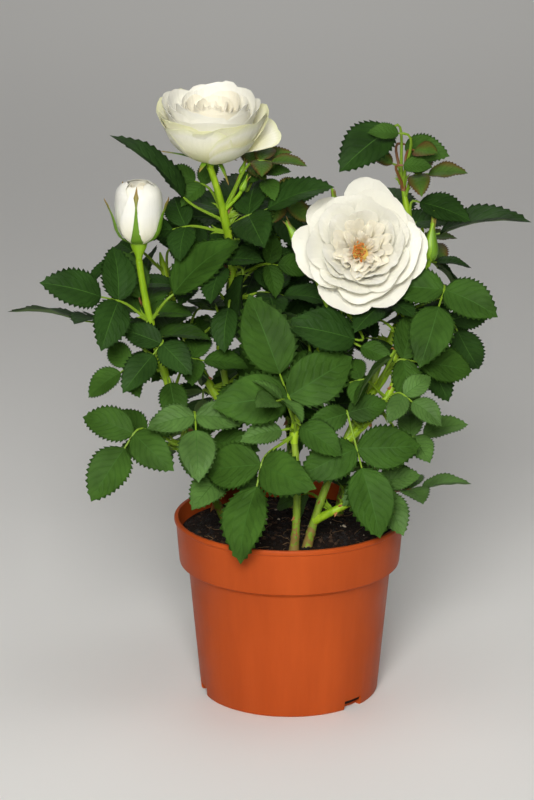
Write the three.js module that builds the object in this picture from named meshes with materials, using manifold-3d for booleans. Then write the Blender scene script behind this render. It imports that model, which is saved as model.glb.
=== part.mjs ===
// Potted white rose bush: a plastic pot of moist compost, a clump of six canes from rooted
// cuttings, the leafy shoots that the canes carry, two open blooms and one half-open bud.
// Millimetres, +Z up, origin at the centre of the pot's flat underside, front of the bush at -Y.
import * as THREE from 'three';
import { mergeVertices } from 'three/addons/utils/BufferGeometryUtils.js';
import Module from 'manifold-3d';

const wasm = await Module();
wasm.setup();

// Driving dimensions.
const CLEAR = 0.3; // gap kept between pieces that touch
const pot = {
  height: 95,
  lipRadius: 60,
  collarHeight: 24,
  collarRadius: 57.5,
  shoulderRadius: 53,
  baseRadius: 46.5,
  wall: 1.6,
  floor: 2.2,
  sides: 32,
  notches: { count: 3, first: -45, width: 12, height: 5, depth: 4 },
};
const soil = { top: 88, edgeDrop: 2, rim: 7 };
const stem = { foot: 2.7, tip: 2.2, shoot: 2.1, shootTip: 1.7, flare: 1.3, flareHeight: 4 };
const leaflet = {
  ratio: 0.7, // width over length
  thickness: 0.62,
  arch: 0.07, // rise of the blade's middle over its length
  fold: 0.22, // rise of the blade's edge over its half-width
  stalk: 0.22, // the end leaflet's stalk, over the leaf's length from its first leaflets
  side: 0.9, // length of a side leaflet over the end leaflet's
  sideAngle: 78, // how far the side leaflets turn away from the end one
  lowSide: 0.66, // length of a lower pair over the pair above it
  lowTurn: 10, // how much wider a lower pair stands
  pairGap: 0.5, // from one pair of side leaflets to the next, over the end leaflet
  rib: 0.6, // half-thickness of the rib between the leaflets
  joint: 1, // half of the rib's length that a side leaflet stands on
  facing: [0, -0.72, 0.7], // posed leaves turn their faces to the light, front and above
};
const crown = { centre: [-8, 18, 186], radii: [116, 98, 102] };

// Canes: one tapering limb each, from its flat foot on the compost to the fork or tip.
const canes = {
  cane_left: { foot: [-33, 8], tip: [-59, -6, 157], bow: [-3, 2, -2] },
  cane_front: { foot: [2, -38], tip: [2, -34, 146], bow: [3, -2, -1] },
  cane_right: { foot: [9, -31], tip: [38, -18, 161], bow: [-6, -6, 0] },
  cane_back_left: { foot: [-14, 24], tip: [-36, 18, 181], bow: [-4, 4, -14] },
  cane_back_right: { foot: [26, 20], tip: [48, 40, 166], bow: [-4, -4, 2] },
  cane_back: { foot: [2, 34], tip: [-4, 56, 172], bow: [2, 6, 0] },
};

// Masses: a leafy shoot on a cane's tip (share 1) or on its side, with small closed buds, posed
// leaves, and leaves that spiral up the shoot by a seeded rule, to both sides of its facing.
// A posed leaf: [share of the shoot, heading, rise and reach of the leaf stalk,
//                heading, rise and length from the first leaflets to the leaf's tip,
//                pairs of side leaflets, roll]. Headings turn left from +X, seen from above.
const masses = {
  foliage_left: {
    cane: 'cane_left', share: 1, tip: [-76, -12, 232], bow: [-4, -2, 0],
    seed: 11, spiral: 3, facing: 90, spread: 80, bareTop: 0.3,
    leaves: [
      [0.59, -30, 50, 19, 20, 35, 46, 0, -20],
      [0.59, -155, 35, 21, -165, 20, 42, 1, -10],
      [0.3, 165, 30, 36, 170, 5, 50, 1, 60],
      [0.47, -70, 0, 12, -140, -40, 33, 1],
      [0.72, 105, -10, 14, 140, 65, 27, 0],
    ],
  },
  foliage_left_low: {
    cane: 'cane_left', share: 0.4, tip: [-56, -16, 139], bow: [-3, -3, 4],
    seed: 23, spiral: 3, facing: 190, spread: 90, bareTop: 0,
    leaves: [
      [1, -65, 45, 27, -85, -50, 36, 1],
      [0.78, -155, 20, 28, -145, -50, 41, 1],
      [0.1, -45, 5, 26, -125, -25, 34, 1],
    ],
  },
  foliage_centre: {
    cane: 'cane_front', share: 1, tip: [37, 14, 214], bow: [-15, -12, 2],
    seed: 35, spiral: 5, facing: 90, spread: 110, bareTop: 0.15,
    buds: [[0.85, 110, 76, 48, 180, 80, 15], [0.75, 165, 66, 44, 180, 60, 17]],
    leaves: [
      [0.18, -140, 55, 11, 135, 60, 56, 1],
      [0.03, -135, -25, 26, -120, -65, 51, 1, 30],
      [0.03, -75, 50, 10, -25, -30, 28, 0],
      [0.05, -120, 20, 10, -165, -10, 24, 0],
      [0.86, -75, -30, 25, -170, 15, 39, 0],
      [0.81, -60, -25, 20, -25, -20, 21, 0],
    ],
  },
  foliage_top_left: {
    cane: 'cane_back_left', share: 1, tip: [-40, -4, 279], bow: [17, 6, -13],
    seed: 47, spiral: 8, facing: 130, spread: 130, bareTop: 0.3,
    leaves: [
      [0.75, 180, 30, 23, 165, 40, 51, 0, 50],
      [0.8, 130, 40, 20, 150, 25, 24, 1],
      [0.72, -45, 30, 18, -5, 20, 46, 1, -25],
      [0.77, 15, 55, 33, -15, -20, 22, 1],
    ],
  },
  foliage_right: {
    cane: 'cane_right', share: 1, tip: [57, 16, 268], bow: [26, 8, -23],
    seed: 59, spiral: 6, facing: 70, spread: 90, bareTop: 0.1,
    buds: [[0.6, -5, 58, 17, 0, 85, 25]],
    leaves: [
      [0.72, 10, 45, 18, -8, 12, 49, 0, -45],
      [0.57, -45, 20, 22, -120, -55, 44, 1],
      [0.42, 20, 5, 26, 20, -60, 33, 1, 30],
      [0.3, 20, -5, 15, -25, -60, 29, 0],
      [0.09, -80, 75, 34, -140, -40, 35, 0, 45],
      [0.66, 20, 25, 13, 10, -10, 21, 0, -40],
      [0.8, 20, 50, 14, -30, -30, 30, 0, 30],
      [0.99, -155, 80, 31, -150, -32, 38, 0],
      [0.97, 100, 75, 24, -20, -10, 26, 0, 20],
      [0.95, -30, 60, 14, -10, 5, 26, 1, -20],
    ],
  },
  foliage_right_mid: {
    cane: 'cane_right', share: 0.72, tip: [54, -14, 172], bow: [4, -1, 0],
    seed: 61, spiral: 3, facing: 20, spread: 60, bareTop: 0,
    leaves: [
      [0.03, -90, -10, 20, -55, -58, 47, 2],
      [0.91, 50, 55, 7, -45, -45, 19, 0],
      [0.4, 15, -45, 24, 10, 10, 31, 1, -20],
    ],
  },
  foliage_right_low: {
    cane: 'cane_right', share: 0.18, tip: [42, -28, 116], bow: [-5, -4, -1],
    seed: 73, spiral: 2, facing: 40, spread: 50, bareTop: 0,
    leaves: [
      [0.97, 15, 0, 20, 5, 5, 33, 1, -45],
      [0.6, 35, 30, 18, -35, -40, 32, 1],
    ],
  },
  foliage_back: {
    cane: 'cane_back', share: 1, tip: [-10, 76, 250], bow: [4, 6, 0],
    seed: 83, spiral: 9, facing: 90, spread: 180, bareTop: 0,
    leaves: [],
  },
  foliage_back_low: {
    cane: 'cane_back', share: 0.45, tip: [6, 78, 168], bow: [0, 4, -6],
    seed: 97, spiral: 6, facing: 90, spread: 120, bareTop: 0,
    leaves: [],
  },
  foliage_back_left: {
    cane: 'cane_back_left', share: 0.62, tip: [-68, 54, 222], bow: [-8, 4, -6],
    seed: 103, spiral: 8, facing: 150, spread: 180, bareTop: 0,
    leaves: [],
  },
  foliage_back_right: {
    cane: 'cane_back_right', share: 1, tip: [70, 54, 236], bow: [6, 4, -4],
    seed: 113, spiral: 8, facing: 30, spread: 180, bareTop: 0,
    leaves: [],
  },
};

// Blooms and the bud, each on the tip of one shoot. Their rings of petals: count, turn of the
// first petal, half-width in degrees, then belly and rim as [radius, height] over the foot.
const blooms = {
  bloom_top: {
    mass: 'foliage_top_left', base: [-40, -4, 281], heading: -70, rise: 86, hip: 5,
    rings: [
      { count: 5, turn: 20, half: 44, belly: [25, 3], rim: [28, 26] },
      { count: 5, turn: 55, half: 40, belly: [24, 10], rim: [26, 34] },
      { count: 1, turn: -12, half: 26, belly: [22, 6], rim: [36, 15] },
    ],
    heart: [23, 40],
  },
  bloom_front: {
    mass: 'foliage_centre', base: [36, 9, 232], heading: -91, rise: 26, hip: 5,
    rings: [
      { count: 6, turn: 15, half: 40, belly: [26, 6], rim: [34.5, 20] },
      { count: 5, turn: 45, half: 40, belly: [23, 9], rim: [28, 25] },
    ],
    heart: [17, 27],
  },
};
const bud = {
  mass: 'foliage_left', base: [-76.2, -12.2, 235], heading: -90, rise: 84,
  hip: 4.2, hipHeight: 9, radius: 13, height: 31, sepals: 5, sepalLength: 28, sepalWidth: 7, sepalBow: 2,
};
// A small closed bud as [share of its length, radius].
const smallBud = [[-0.1, 0.8], [0.05, 1.1], [0.15, 2.1], [0.3, 2.9], [0.5, 2.7], [0.75, 1.1], [1, 0.4]];

// Colours, roughness and metalness of the materials.
const finish = {
  pot: { color: 0xb9552b, roughness: 0.55, metalness: 0 },
  soil: { color: 0x2a1c14, roughness: 0.95, metalness: 0 },
  cane: { color: 0x7f9a35, roughness: 0.6, metalness: 0 },
  foliage: { color: 0x3f6a2c, roughness: 0.5, metalness: 0 },
  bloom: { color: 0xf4f2e6, roughness: 0.6, metalness: 0 },
};

// A leaf that would touch something tries again, this many times, before it is left out.
const POSED_TRIES = 40;
const TRIES = 14;
// How far each number of a pose may move with each further attempt.
const NUDGE = [0, 3, 3, 0.5, 3, 3, 0, 0, 3];

const { degToRad, lerp } = THREE.MathUtils;
const vector = (values) => new THREE.Vector3(...values);

function towards(heading, rise) {
  const flat = Math.cos(degToRad(rise));
  const turn = degToRad(heading);
  return new THREE.Vector3(flat * Math.cos(turn), flat * Math.sin(turn), Math.sin(degToRad(rise)));
}

// A small repeatable random number source, the same numbers for the same seed.
function seeded(seed) {
  let state = seed * 7919;
  return () => {
    state = (state + 0x6d2b79f5) | 0;
    let mixed = Math.imul(state ^ (state >>> 15), 1 | state);
    mixed = (mixed + Math.imul(mixed ^ (mixed >>> 7), 61 | mixed)) ^ mixed;
    return ((mixed ^ (mixed >>> 14)) >>> 0) / 4294967296;
  };
}

function course(from, to, bow) {
  const middle = from.clone().add(to).multiplyScalar(0.5).add(vector(bow));
  return new THREE.QuadraticBezierCurve3(from, middle, to);
}

// Solids ----------------------------------------------------------------------------------

function solidOf(geometry) {
  const bare = new THREE.BufferGeometry();
  bare.setAttribute('position', geometry.getAttribute('position'));
  bare.setIndex(geometry.getIndex());
  const merged = mergeVertices(bare, 1e-4);
  const corners = merged.getIndex().array;
  const faces = [];
  for (let i = 0; i < corners.length; i += 3) {
    const [a, b, c] = corners.slice(i, i + 3);
    if (a !== b && b !== c && c !== a) {
      faces.push(a, b, c);
    }
  }
  return new wasm.Manifold(new wasm.Mesh({
    numProp: 3,
    vertProperties: new Float32Array(merged.getAttribute('position').array),
    triVerts: new Uint32Array(faces),
  }));
}

// The faces of the largest shell of a mesh: a hollow sealed by fusing, or a loose scrap, goes.
function largestShell(corners, count) {
  const root = Array.from({ length: count }, (_, index) => index);
  const find = (index) => {
    let at = index;
    while (root[at] !== at) {
      root[at] = root[root[at]];
      at = root[at];
    }
    return at;
  };
  for (let i = 0; i < corners.length; i += 3) {
    root[find(corners[i + 1])] = find(corners[i]);
    root[find(corners[i + 2])] = find(corners[i]);
  }
  const shells = new Map();
  for (let i = 0; i < corners.length; i += 3) {
    const shell = find(corners[i]);
    shells.set(shell, [...(shells.get(shell) ?? []), corners[i], corners[i + 1], corners[i + 2]]);
  }
  return [...shells.values()].reduce((best, faces) => (faces.length > best.length ? faces : best));
}

function meshOf(name, solid, look) {
  const { vertProperties, triVerts } = solid.getMesh();
  const corners = new THREE.BufferGeometry();
  corners.setAttribute('position', new THREE.BufferAttribute(new Float32Array(vertProperties), 3));
  corners.setIndex(largestShell(triVerts, vertProperties.length / 3));
  const geometry = mergeVertices(corners, 1e-4);
  geometry.computeVertexNormals();
  const mesh = new THREE.Mesh(geometry, new THREE.MeshStandardMaterial(look));
  mesh.name = name;
  return mesh;
}

function fused(solids) {
  return solids.reduce((whole, piece) => whole.add(piece));
}

// A closed solid skinned over rings of equally many corners, each ring turning left about the
// way that the rings run. The last ring may be one point repeated.
function loft(rings) {
  const sides = rings[0].length;
  const last = rings.length - 1;
  const faces = [];
  for (let ring = 0; ring < last; ring += 1) {
    for (let side = 0; side < sides; side += 1) {
      const next = (side + 1) % sides;
      const a = ring * sides + side;
      const b = ring * sides + next;
      const c = b + sides;
      const d = a + sides;
      faces.push(...(side % 2 === 0 ? [a, b, d, b, c, d] : [a, b, c, a, c, d]));
    }
  }
  for (let side = 1; side < sides - 1; side += 1) {
    const end = last * sides;
    faces.push(0, side + 1, side, end, end + side, end + side + 1);
  }
  const geometry = new THREE.BufferGeometry();
  const corners = rings.flat().flatMap((corner) => corner.toArray());
  geometry.setAttribute('position', new THREE.Float32BufferAttribute(corners, 3));
  geometry.setIndex(faces);
  return solidOf(geometry);
}

// A tapering rod through the points, its end faces square to startAlong and endAlong.
function rod(points, radii, sides, startAlong, endAlong) {
  const last = points.length - 1;
  const chord = points[last].clone().sub(points[0]).normalize();
  const reference = Math.abs(chord.z) > 0.7 ? new THREE.Vector3(1, 0, 0) : new THREE.Vector3(0, 0, 1);
  return loft(points.map((point, ring) => {
    const behind = points[Math.max(ring - 1, 0)];
    const ahead = points[Math.min(ring + 1, last)];
    const given = (ring === 0 && startAlong) || (ring === last && endAlong);
    const along = given || ahead.clone().sub(behind).normalize();
    const across = new THREE.Vector3().crossVectors(along, reference).normalize();
    const over = new THREE.Vector3().crossVectors(along, across);
    return Array.from({ length: sides }, (_, side) => {
      const turn = (2 * Math.PI * side) / sides;
      return point.clone()
        .addScaledVector(across, radii[ring] * Math.cos(turn))
        .addScaledVector(over, radii[ring] * Math.sin(turn));
    });
  }));
}

// A closed sheet over a grid: thick inside, and running out to a thin edge all round.
function sheet(pointAt, columns, rows, thickness) {
  const wide = columns + 1;
  const count = wide * (rows + 1);
  const upper = [];
  const lower = [];
  const step = 1e-3;
  for (let row = 0; row <= rows; row += 1) {
    for (let column = 0; column <= columns; column += 1) {
      const u = (2 * column) / columns - 1;
      const v = row / rows;
      const point = pointAt(u, v);
      const inside = row > 0 && row < rows && column > 0 && column < columns;
      const alongU = pointAt(u + step, v).sub(pointAt(u - step, v));
      const alongV = pointAt(u, Math.min(v + step, 1)).sub(pointAt(u, Math.max(v - step, 0)));
      const normal = alongU.cross(alongV).normalize();
      const half = inside ? thickness / 2 : 0;
      upper.push(...point.clone().addScaledVector(normal, half).toArray());
      lower.push(...point.clone().addScaledVector(normal, -half).toArray());
    }
  }
  const faces = [];
  for (let row = 0; row < rows; row += 1) {
    for (let column = 0; column < columns; column += 1) {
      const a = row * wide + column;
      const b = a + 1;
      const c = b + wide;
      const d = a + wide;
      faces.push(a, b, c, a, c, d);
      faces.push(count + a, count + c, count + b, count + a, count + d, count + c);
    }
  }
  const geometry = new THREE.BufferGeometry();
  geometry.setAttribute('position', new THREE.Float32BufferAttribute([...upper, ...lower], 3));
  geometry.setIndex(faces);
  return solidOf(geometry);
}

function turned(profile, sides) {
  return solidOf(new THREE.LatheGeometry(profile.map(([r, z]) => new THREE.Vector2(r, z)), sides)
    .rotateX(Math.PI / 2));
}

// Pot and compost -------------------------------------------------------------------------

function wallRadius(z) {
  const collarFoot = pot.height - pot.collarHeight;
  return lerp(pot.baseRadius, pot.shoulderRadius, z / collarFoot);
}

function buildPot() {
  const collarFoot = pot.height - pot.collarHeight;
  const inside = (z) => wallRadius(z) - pot.wall;
  const shell = turned([
    [0, 0],
    [pot.baseRadius - 1, 0],
    [pot.baseRadius, 1],
    [wallRadius(collarFoot - 3), collarFoot - 3],
    [pot.collarRadius - 1, collarFoot - 0.6],
    [pot.collarRadius, collarFoot + 0.8],
    [pot.lipRadius, pot.height - 0.8],
    [pot.lipRadius - 0.8, pot.height],
    [pot.lipRadius - pot.wall, pot.height - 0.6],
    [pot.collarRadius - pot.wall, collarFoot + 2],
    [inside(collarFoot - 2), collarFoot - 2],
    [inside(pot.floor), pot.floor],
    [0, pot.floor],
  ], pot.sides);
  const { count, first, width, height, depth } = pot.notches;
  const cutters = Array.from({ length: count }, (_, index) => {
    const turn = first + (360 / count) * index;
    const long = depth + 10;
    const cutter = new THREE.BoxGeometry(long, width, 2 * height);
    const inner = (pot.baseRadius - depth) * Math.cos(Math.PI / pot.sides);
    cutter.translate(inner + long / 2, 0, 0);
    return solidOf(cutter.rotateZ(degToRad(turn)));
  });
  return cutters.reduce((whole, cutter) => whole.subtract(cutter), shell);
}

function buildSoil() {
  const collarFoot = pot.height - pot.collarHeight;
  const room = pot.wall + CLEAR * 1.5;
  const bottom = pot.floor + CLEAR;
  const upperWall = lerp(pot.collarRadius, pot.lipRadius, (soil.top - collarFoot) / pot.collarHeight);
  return turned([
    [0, bottom],
    [wallRadius(bottom) - room, bottom],
    [wallRadius(collarFoot - 2) - room, collarFoot - 2],
    [pot.collarRadius - room - 0.2, collarFoot + 2],
    [upperWall - room - 0.3, soil.top - soil.edgeDrop],
    [upperWall - room - soil.rim, soil.top],
    [0, soil.top],
  ], pot.sides);
}

// Canes and shoots ------------------------------------------------------------------------

function caneCourse({ foot, tip, bow }) {
  return course(vector([...foot, soil.top + CLEAR]), vector(tip), bow);
}

function caneRadius(share) {
  return lerp(stem.foot, stem.tip, share);
}

function buildCane(cane) {
  const steps = 6;
  const up = new THREE.Vector3(0, 0, 1);
  const curve = caneCourse(cane);
  const points = curve.getPoints(steps);
  const radii = points.map((point, index) => {
    const flare = Math.max(0, 1 - (point.z - points[0].z) / stem.flareHeight);
    return caneRadius(index / steps) * (1 + (stem.flare - 1) * flare);
  });
  points.splice(1, 0, points[0].clone().lerp(points[1], 0.35));
  radii.splice(1, 0, caneRadius(0.04));
  return rod(points, radii, 7, up, up);
}

// The shoot's course starts 0.3 mm off the cane's tip, or off its side at the given share.
function shootCourse(mass) {
  const curve = caneCourse(canes[mass.cane]);
  const tip = vector(mass.tip);
  if (mass.share === 1) {
    const start = curve.getPoint(1).add(new THREE.Vector3(0, 0, CLEAR));
    return course(start, tip, mass.bow);
  }
  const root = curve.getPoint(mass.share);
  const middle = root.clone().add(tip).multiplyScalar(0.5).add(vector(mass.bow));
  const direction = middle.sub(root).normalize();
  const lean = Math.abs(direction.dot(curve.getTangent(mass.share)));
  const away = (caneRadius(mass.share) + CLEAR + stem.shoot * lean) / Math.sqrt(1 - lean * lean);
  return course(root.addScaledVector(direction, away), tip, mass.bow);
}

function buildShoot(mass, curve, flower) {
  const steps = 7;
  const points = curve.getPoints(steps);
  const radii = points.map((_, index) => lerp(stem.shoot, stem.shootTip, index / steps));
  const up = new THREE.Vector3(0, 0, 1);
  let end;
  if (flower) {
    end = towards(flower.heading, flower.rise);
    const base = vector(flower.base).addScaledVector(end, -CLEAR);
    const neck = new THREE.QuadraticBezierCurve3(
      curve.getPoint(1), base.clone().addScaledVector(end, -5), base);
    if (base.distanceTo(curve.getPoint(1)) > 4) {
      points.push(...neck.getPoints(4).slice(1));
      radii.push(...Array(4).fill(stem.shootTip));
    } else {
      points[steps] = base;
    }
  }
  return rod(points, radii, 6, mass.share === 1 ? up : undefined, end);
}

// Leaves ----------------------------------------------------------------------------------

// The half-width of a leaflet along its length, 1 at the widest.
function bladeOutline(v) {
  return 2.6 * v ** 0.6 * (1 - v) ** 0.8;
}

// A thin closed blade, patched from stations of a left edge, a midrib and a right edge. The
// midrib is thick and the edges are sharp.
function bladePatch() {
  const upper = [];
  const lower = [];
  const faces = [];
  const add = (point, lift) => {
    upper.push(point.clone().add(lift));
    lower.push(point.clone().sub(lift));
    return upper.length - 1;
  };
  return {
    station(middle, across, normal, halfWidth, halfThickness) {
      const raised = middle.clone().addScaledVector(normal, leaflet.fold * halfWidth);
      const none = new THREE.Vector3();
      return [
        add(raised.clone().addScaledVector(across, -halfWidth), none),
        add(middle, normal.clone().multiplyScalar(halfThickness)),
        add(raised.clone().addScaledVector(across, halfWidth), none),
      ];
    },
    strip([left, middle, right], [nextLeft, nextMiddle, nextRight]) {
      faces.push([left, middle, nextLeft], [middle, nextMiddle, nextLeft]);
      faces.push([middle, right, nextRight], [middle, nextRight, nextMiddle]);
    },
    close([left, middle, right]) {
      const count = upper.length;
      const under = faces.map(([a, b, c]) => [a + count, c + count, b + count]);
      const cap = [[left, right, middle], [left, middle + count, right]];
      const geometry = new THREE.BufferGeometry();
      const corners = [...upper, ...lower].flatMap((corner) => corner.toArray());
      geometry.setAttribute('position', new THREE.Float32BufferAttribute(corners, 3));
      geometry.setIndex([...faces, ...under, ...cap].flat());
      return solidOf(geometry);
    },
  };
}

// A leaflet grown on from the three points of its base.
function addLeaflet(patch, base, { foot, along, normal, length }, stations) {
  const across = new THREE.Vector3().crossVectors(along, normal);
  let previous = base;
  for (let index = 1; index <= stations; index += 1) {
    const v = index / stations;
    const middle = foot.clone()
      .addScaledVector(along, v * length)
      .addScaledVector(normal, 4 * leaflet.arch * length * v * (1 - v));
    const halfWidth = (length * leaflet.ratio / 2) * bladeOutline(v);
    const ends = index === stations;
    const next = patch.station(middle, across, normal, halfWidth, ends ? 0 : leaflet.thickness / 2);
    patch.strip(previous, ends ? Array(3).fill(next[1]) : next);
    previous = next;
  }
}

// One compound leaf, from its pose: the stalk's root, the forks where the pairs of side
// leaflets stand, and the leaflets, the end one first.
function leafPlan(curve, pose, light) {
  const [share, heading, rise, reach, bladeHeading, bladeRise, length, pairs, roll = 0] = pose;
  const root = curve.getPoint(share);
  const fork = root.clone().addScaledVector(towards(heading, rise), reach);
  const along = towards(bladeHeading, bladeRise);
  const normal = light.clone().addScaledVector(along, -light.dot(along)).normalize();
  normal.applyAxisAngle(along, degToRad(roll));
  const stalk = pairs > 0 ? leaflet.stalk * length : leaflet.joint * 2;
  const size = length - stalk;
  const end = { foot: fork.clone().addScaledVector(along, stalk), along, normal, length: size };
  const forks = [];
  const sides = [];
  for (let pair = 0; pair < pairs; pair += 1) {
    const foot = fork.clone().addScaledVector(along, -leaflet.pairGap * size * pair);
    const angle = leaflet.sideAngle + leaflet.lowTurn * pair;
    forks.push(foot);
    sides.push([1, -1].map((hand) => ({
      foot,
      along: along.clone().applyAxisAngle(normal, degToRad(hand * angle)),
      normal,
      length: size * leaflet.side * leaflet.lowSide ** pair,
    })));
  }
  return { root, along, normal, forks, end, sides, leaflets: [end, ...sides.flat()] };
}

// The stalk and the blades of a leaf as solids. The blades and the rib between them are one
// patch, which starts behind the lowest fork, inside the stalk's end.
function buildLeaf({ root, along, normal, forks, end, sides }) {
  const across = new THREE.Vector3().crossVectors(along, normal);
  const { joint, rib } = leaflet;
  const patch = bladePatch();
  const lowest = forks.at(-1) ?? end.foot.clone().addScaledVector(along, -joint);
  const tail = lowest.clone().addScaledVector(along, -3 * joint);
  const first = patch.station(tail, across, normal, rib, rib);
  let previous = first;
  for (const index of [...forks.keys()].reverse()) {
    const at = (shift) => forks[index].clone().addScaledVector(along, shift);
    const [lowLeft, , lowRight] = patch.station(at(-joint), across, normal, rib, rib);
    const [, middle] = patch.station(at(0), across, normal, rib, rib);
    const [highLeft, , highRight] = patch.station(at(joint), across, normal, rib, rib);
    patch.strip(previous, [lowLeft, middle, lowRight]);
    addLeaflet(patch, [lowLeft, middle, highLeft], sides[index][0], 3);
    addLeaflet(patch, [highRight, middle, lowRight], sides[index][1], 3);
    previous = [highLeft, middle, highRight];
  }
  const last = patch.station(end.foot, across, normal, rib, rib);
  patch.strip(previous, last);
  addLeaflet(patch, last, end, 4);
  const stalkEnd = lowest.clone().addScaledVector(along, -2 * joint);
  return { all: [rod([root, stalkEnd], [1, 0.9], 3), patch.close(first)] };
}

// A small closed bud on its stalk: [share of the shoot, heading, rise and length of the stalk,
// heading, rise and length of the bud].
function buildSmallBud(curve, [share, heading, rise, reach, budHeading, budRise, length]) {
  const root = curve.getPoint(share);
  const foot = root.clone().addScaledVector(towards(heading, rise), reach);
  const along = towards(budHeading, budRise);
  const at = (shift) => foot.clone().addScaledVector(along, shift * length);
  const points = smallBud.map(([shift]) => at(shift));
  const radii = smallBud.map(([, radius]) => radius);
  return { all: [rod([root, foot], [1, 0.8], 4), rod(points, radii, 6, along, along)] };
}

// A posed leaf, turned and raised a little further from its pose with each attempt.
function posedLeaf(mass, pose, attempt) {
  const random = seeded(mass.seed + 1000 * pose[0] + attempt);
  const turned = pose.map((value, place) => value + (NUDGE[place] ?? 0) * attempt * (random() - 0.5));
  return leafPlan(mass.curve, turned, vector(leaflet.facing));
}

function spiralLeaf(mass, index, attempt) {
  const random = seeded(mass.seed + 1000 * index + 37 * attempt);
  const share = lerp(0.08, 1 - mass.bareTop, (index + random()) / mass.spiral);
  const spiralled = ((137.5 * index) % 360) / 180 - 1;
  const heading = mass.facing + mass.spread * spiralled + 60 * (random() - 0.5);
  const rise = lerp(5, 50, random());
  const reach = lerp(14, 28, random());
  const bladeHeading = heading + 70 * (random() - 0.5);
  const bladeRise = lerp(-45, 20, random());
  const length = lerp(34, 50, random()) * (1 - 0.03 * attempt);
  const pairs = random() < 0.75 ? 1 : 2;
  const roll = 50 * (random() - 0.5);
  const pose = [share, heading, rise, reach, bladeHeading, bladeRise, length, pairs, roll];
  return leafPlan(mass.curve, pose, towards(heading, 40).add(vector(leaflet.facing)));
}

function insideCrown({ leaflets }) {
  return leaflets.every(({ foot, along, length }) => {
    const end = foot.clone().addScaledVector(along, length).sub(vector(crown.centre));
    return end.divide(vector(crown.radii)).length() < 1;
  });
}

// Blooms and bud --------------------------------------------------------------------------

function placed(solid, { base, heading, rise }) {
  const up = towards(heading, rise);
  const side = new THREE.Vector3().crossVectors(new THREE.Vector3(0, 1, 0), up).normalize();
  const matrix = new THREE.Matrix4().makeBasis(side, new THREE.Vector3().crossVectors(up, side), up);
  matrix.setPosition(vector(base));
  return solid.transform([...matrix.elements]);
}

function petal({ half, belly, rim }, turn) {
  const middle = new THREE.Vector2(...belly);
  const profile = new THREE.QuadraticBezierCurve(new THREE.Vector2(2, 1), middle, new THREE.Vector2(...rim));
  return sheet((u, v) => {
    const { x: radius, y: height } = profile.getPoint(v * (1 - 0.2 * u * u));
    const opening = 0.35 + 0.65 * Math.sin((Math.PI / 2) * Math.min(1, v / 0.75));
    const spread = half * opening * (1 - 0.25 * v ** 6);
    const angle = degToRad(turn + u * spread);
    return new THREE.Vector3(radius * Math.cos(angle), radius * Math.sin(angle), height);
  }, 3, 3, 1.2);
}

function buildBloom(flower) {
  const [heartRadius, heartHeight] = flower.heart;
  const { hip } = flower;
  const heart = turned([
    [0, 0],
    [hip * 0.5, 0],
    [hip, 3],
    [heartRadius * 0.8, heartHeight * 0.3],
    [heartRadius, heartHeight * 0.7],
    [heartRadius * 0.75, heartHeight * 0.95],
    [0, heartHeight],
  ], 12);
  const petals = flower.rings.flatMap((ring) => Array.from({ length: ring.count }, (_, index) =>
    petal(ring, ring.turn + (360 / ring.count) * index)));
  return placed(fused([heart, ...petals]), flower);
}

function buildBud() {
  const { hip, hipHeight, radius, height } = bud;
  const body = turned([
    [0, 0],
    [stem.shootTip, 0],
    [hip, hipHeight * 0.45],
    [hip * 0.9, hipHeight],
    [radius * 0.72, hipHeight + height * 0.22],
    [radius, hipHeight + height * 0.55],
    [radius * 0.86, hipHeight + height * 0.82],
    [radius * 0.45, hipHeight + height * 0.97],
    [0, hipHeight + height],
  ], 10);
  const sepals = Array.from({ length: bud.sepals }, (_, index) => {
    const turn = -90 + (360 / bud.sepals) * index;
    const along = towards(turn, 56);
    const foot = towards(turn, 0).multiplyScalar(hip * 0.5).setZ(hipHeight * 0.8);
    const normal = towards(turn, 56 - 90);
    const across = new THREE.Vector3().crossVectors(along, normal);
    return sheet((u, v) => {
      const halfWidth = (bud.sepalWidth / 2) * bladeOutline(Math.min(v, 1));
      return foot.clone()
        .addScaledVector(along, v * bud.sepalLength)
        .addScaledVector(across, u * halfWidth)
        .addScaledVector(normal, bud.sepalBow * Math.sin(Math.PI * v));
    }, 2, 4, 1);
  });
  return placed(fused([body, ...sepals]), bud);
}

// The bush --------------------------------------------------------------------------------

const solids = {};
solids.pot = buildPot();
solids.soil = buildSoil();
for (const [name, cane] of Object.entries(canes)) {
  solids[name] = buildCane(cane);
}
for (const [name, flower] of Object.entries(blooms)) {
  solids[name] = buildBloom(flower);
}
solids.bud_left = buildBud();

const flowers = [...Object.values(blooms), bud];
for (const [name, mass] of Object.entries(masses)) {
  mass.curve = shootCourse(mass);
  mass.shoot = buildShoot(mass, mass.curve, flowers.find((flower) => flower.mass === name));
  mass.twigs = [];
}

function clearOf(solid, others) {
  return others.every((other) => solid.minGap(other, 1) > CLEAR);
}

// A twig with what it carries joins its mass if it is clear of all other pieces, and its
// blades or bud are clear of the mass's own. Twigs of one shoot may meet at their roots.
function grow(mass, twig) {
  const others = Object.values(masses).filter((other) => other !== mass);
  const strange = others.flatMap((other) =>
    [other.shoot, ...other.twigs.flatMap((grown) => grown.all)]);
  const load = twig.all.slice(1);
  const own = mass.twigs.flatMap((grown) => grown.all);
  const ownLoads = mass.twigs.flatMap((grown) => grown.all.slice(1));
  const clear = twig.all.every((piece) => clearOf(piece, [...Object.values(solids), ...strange]))
    && load.every((piece) => clearOf(piece, own) && piece.intersect(mass.shoot).isEmpty())
    && clearOf(twig.all[0], ownLoads);
  if (clear) {
    mass.twigs.push(twig);
  }
  return clear;
}

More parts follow.
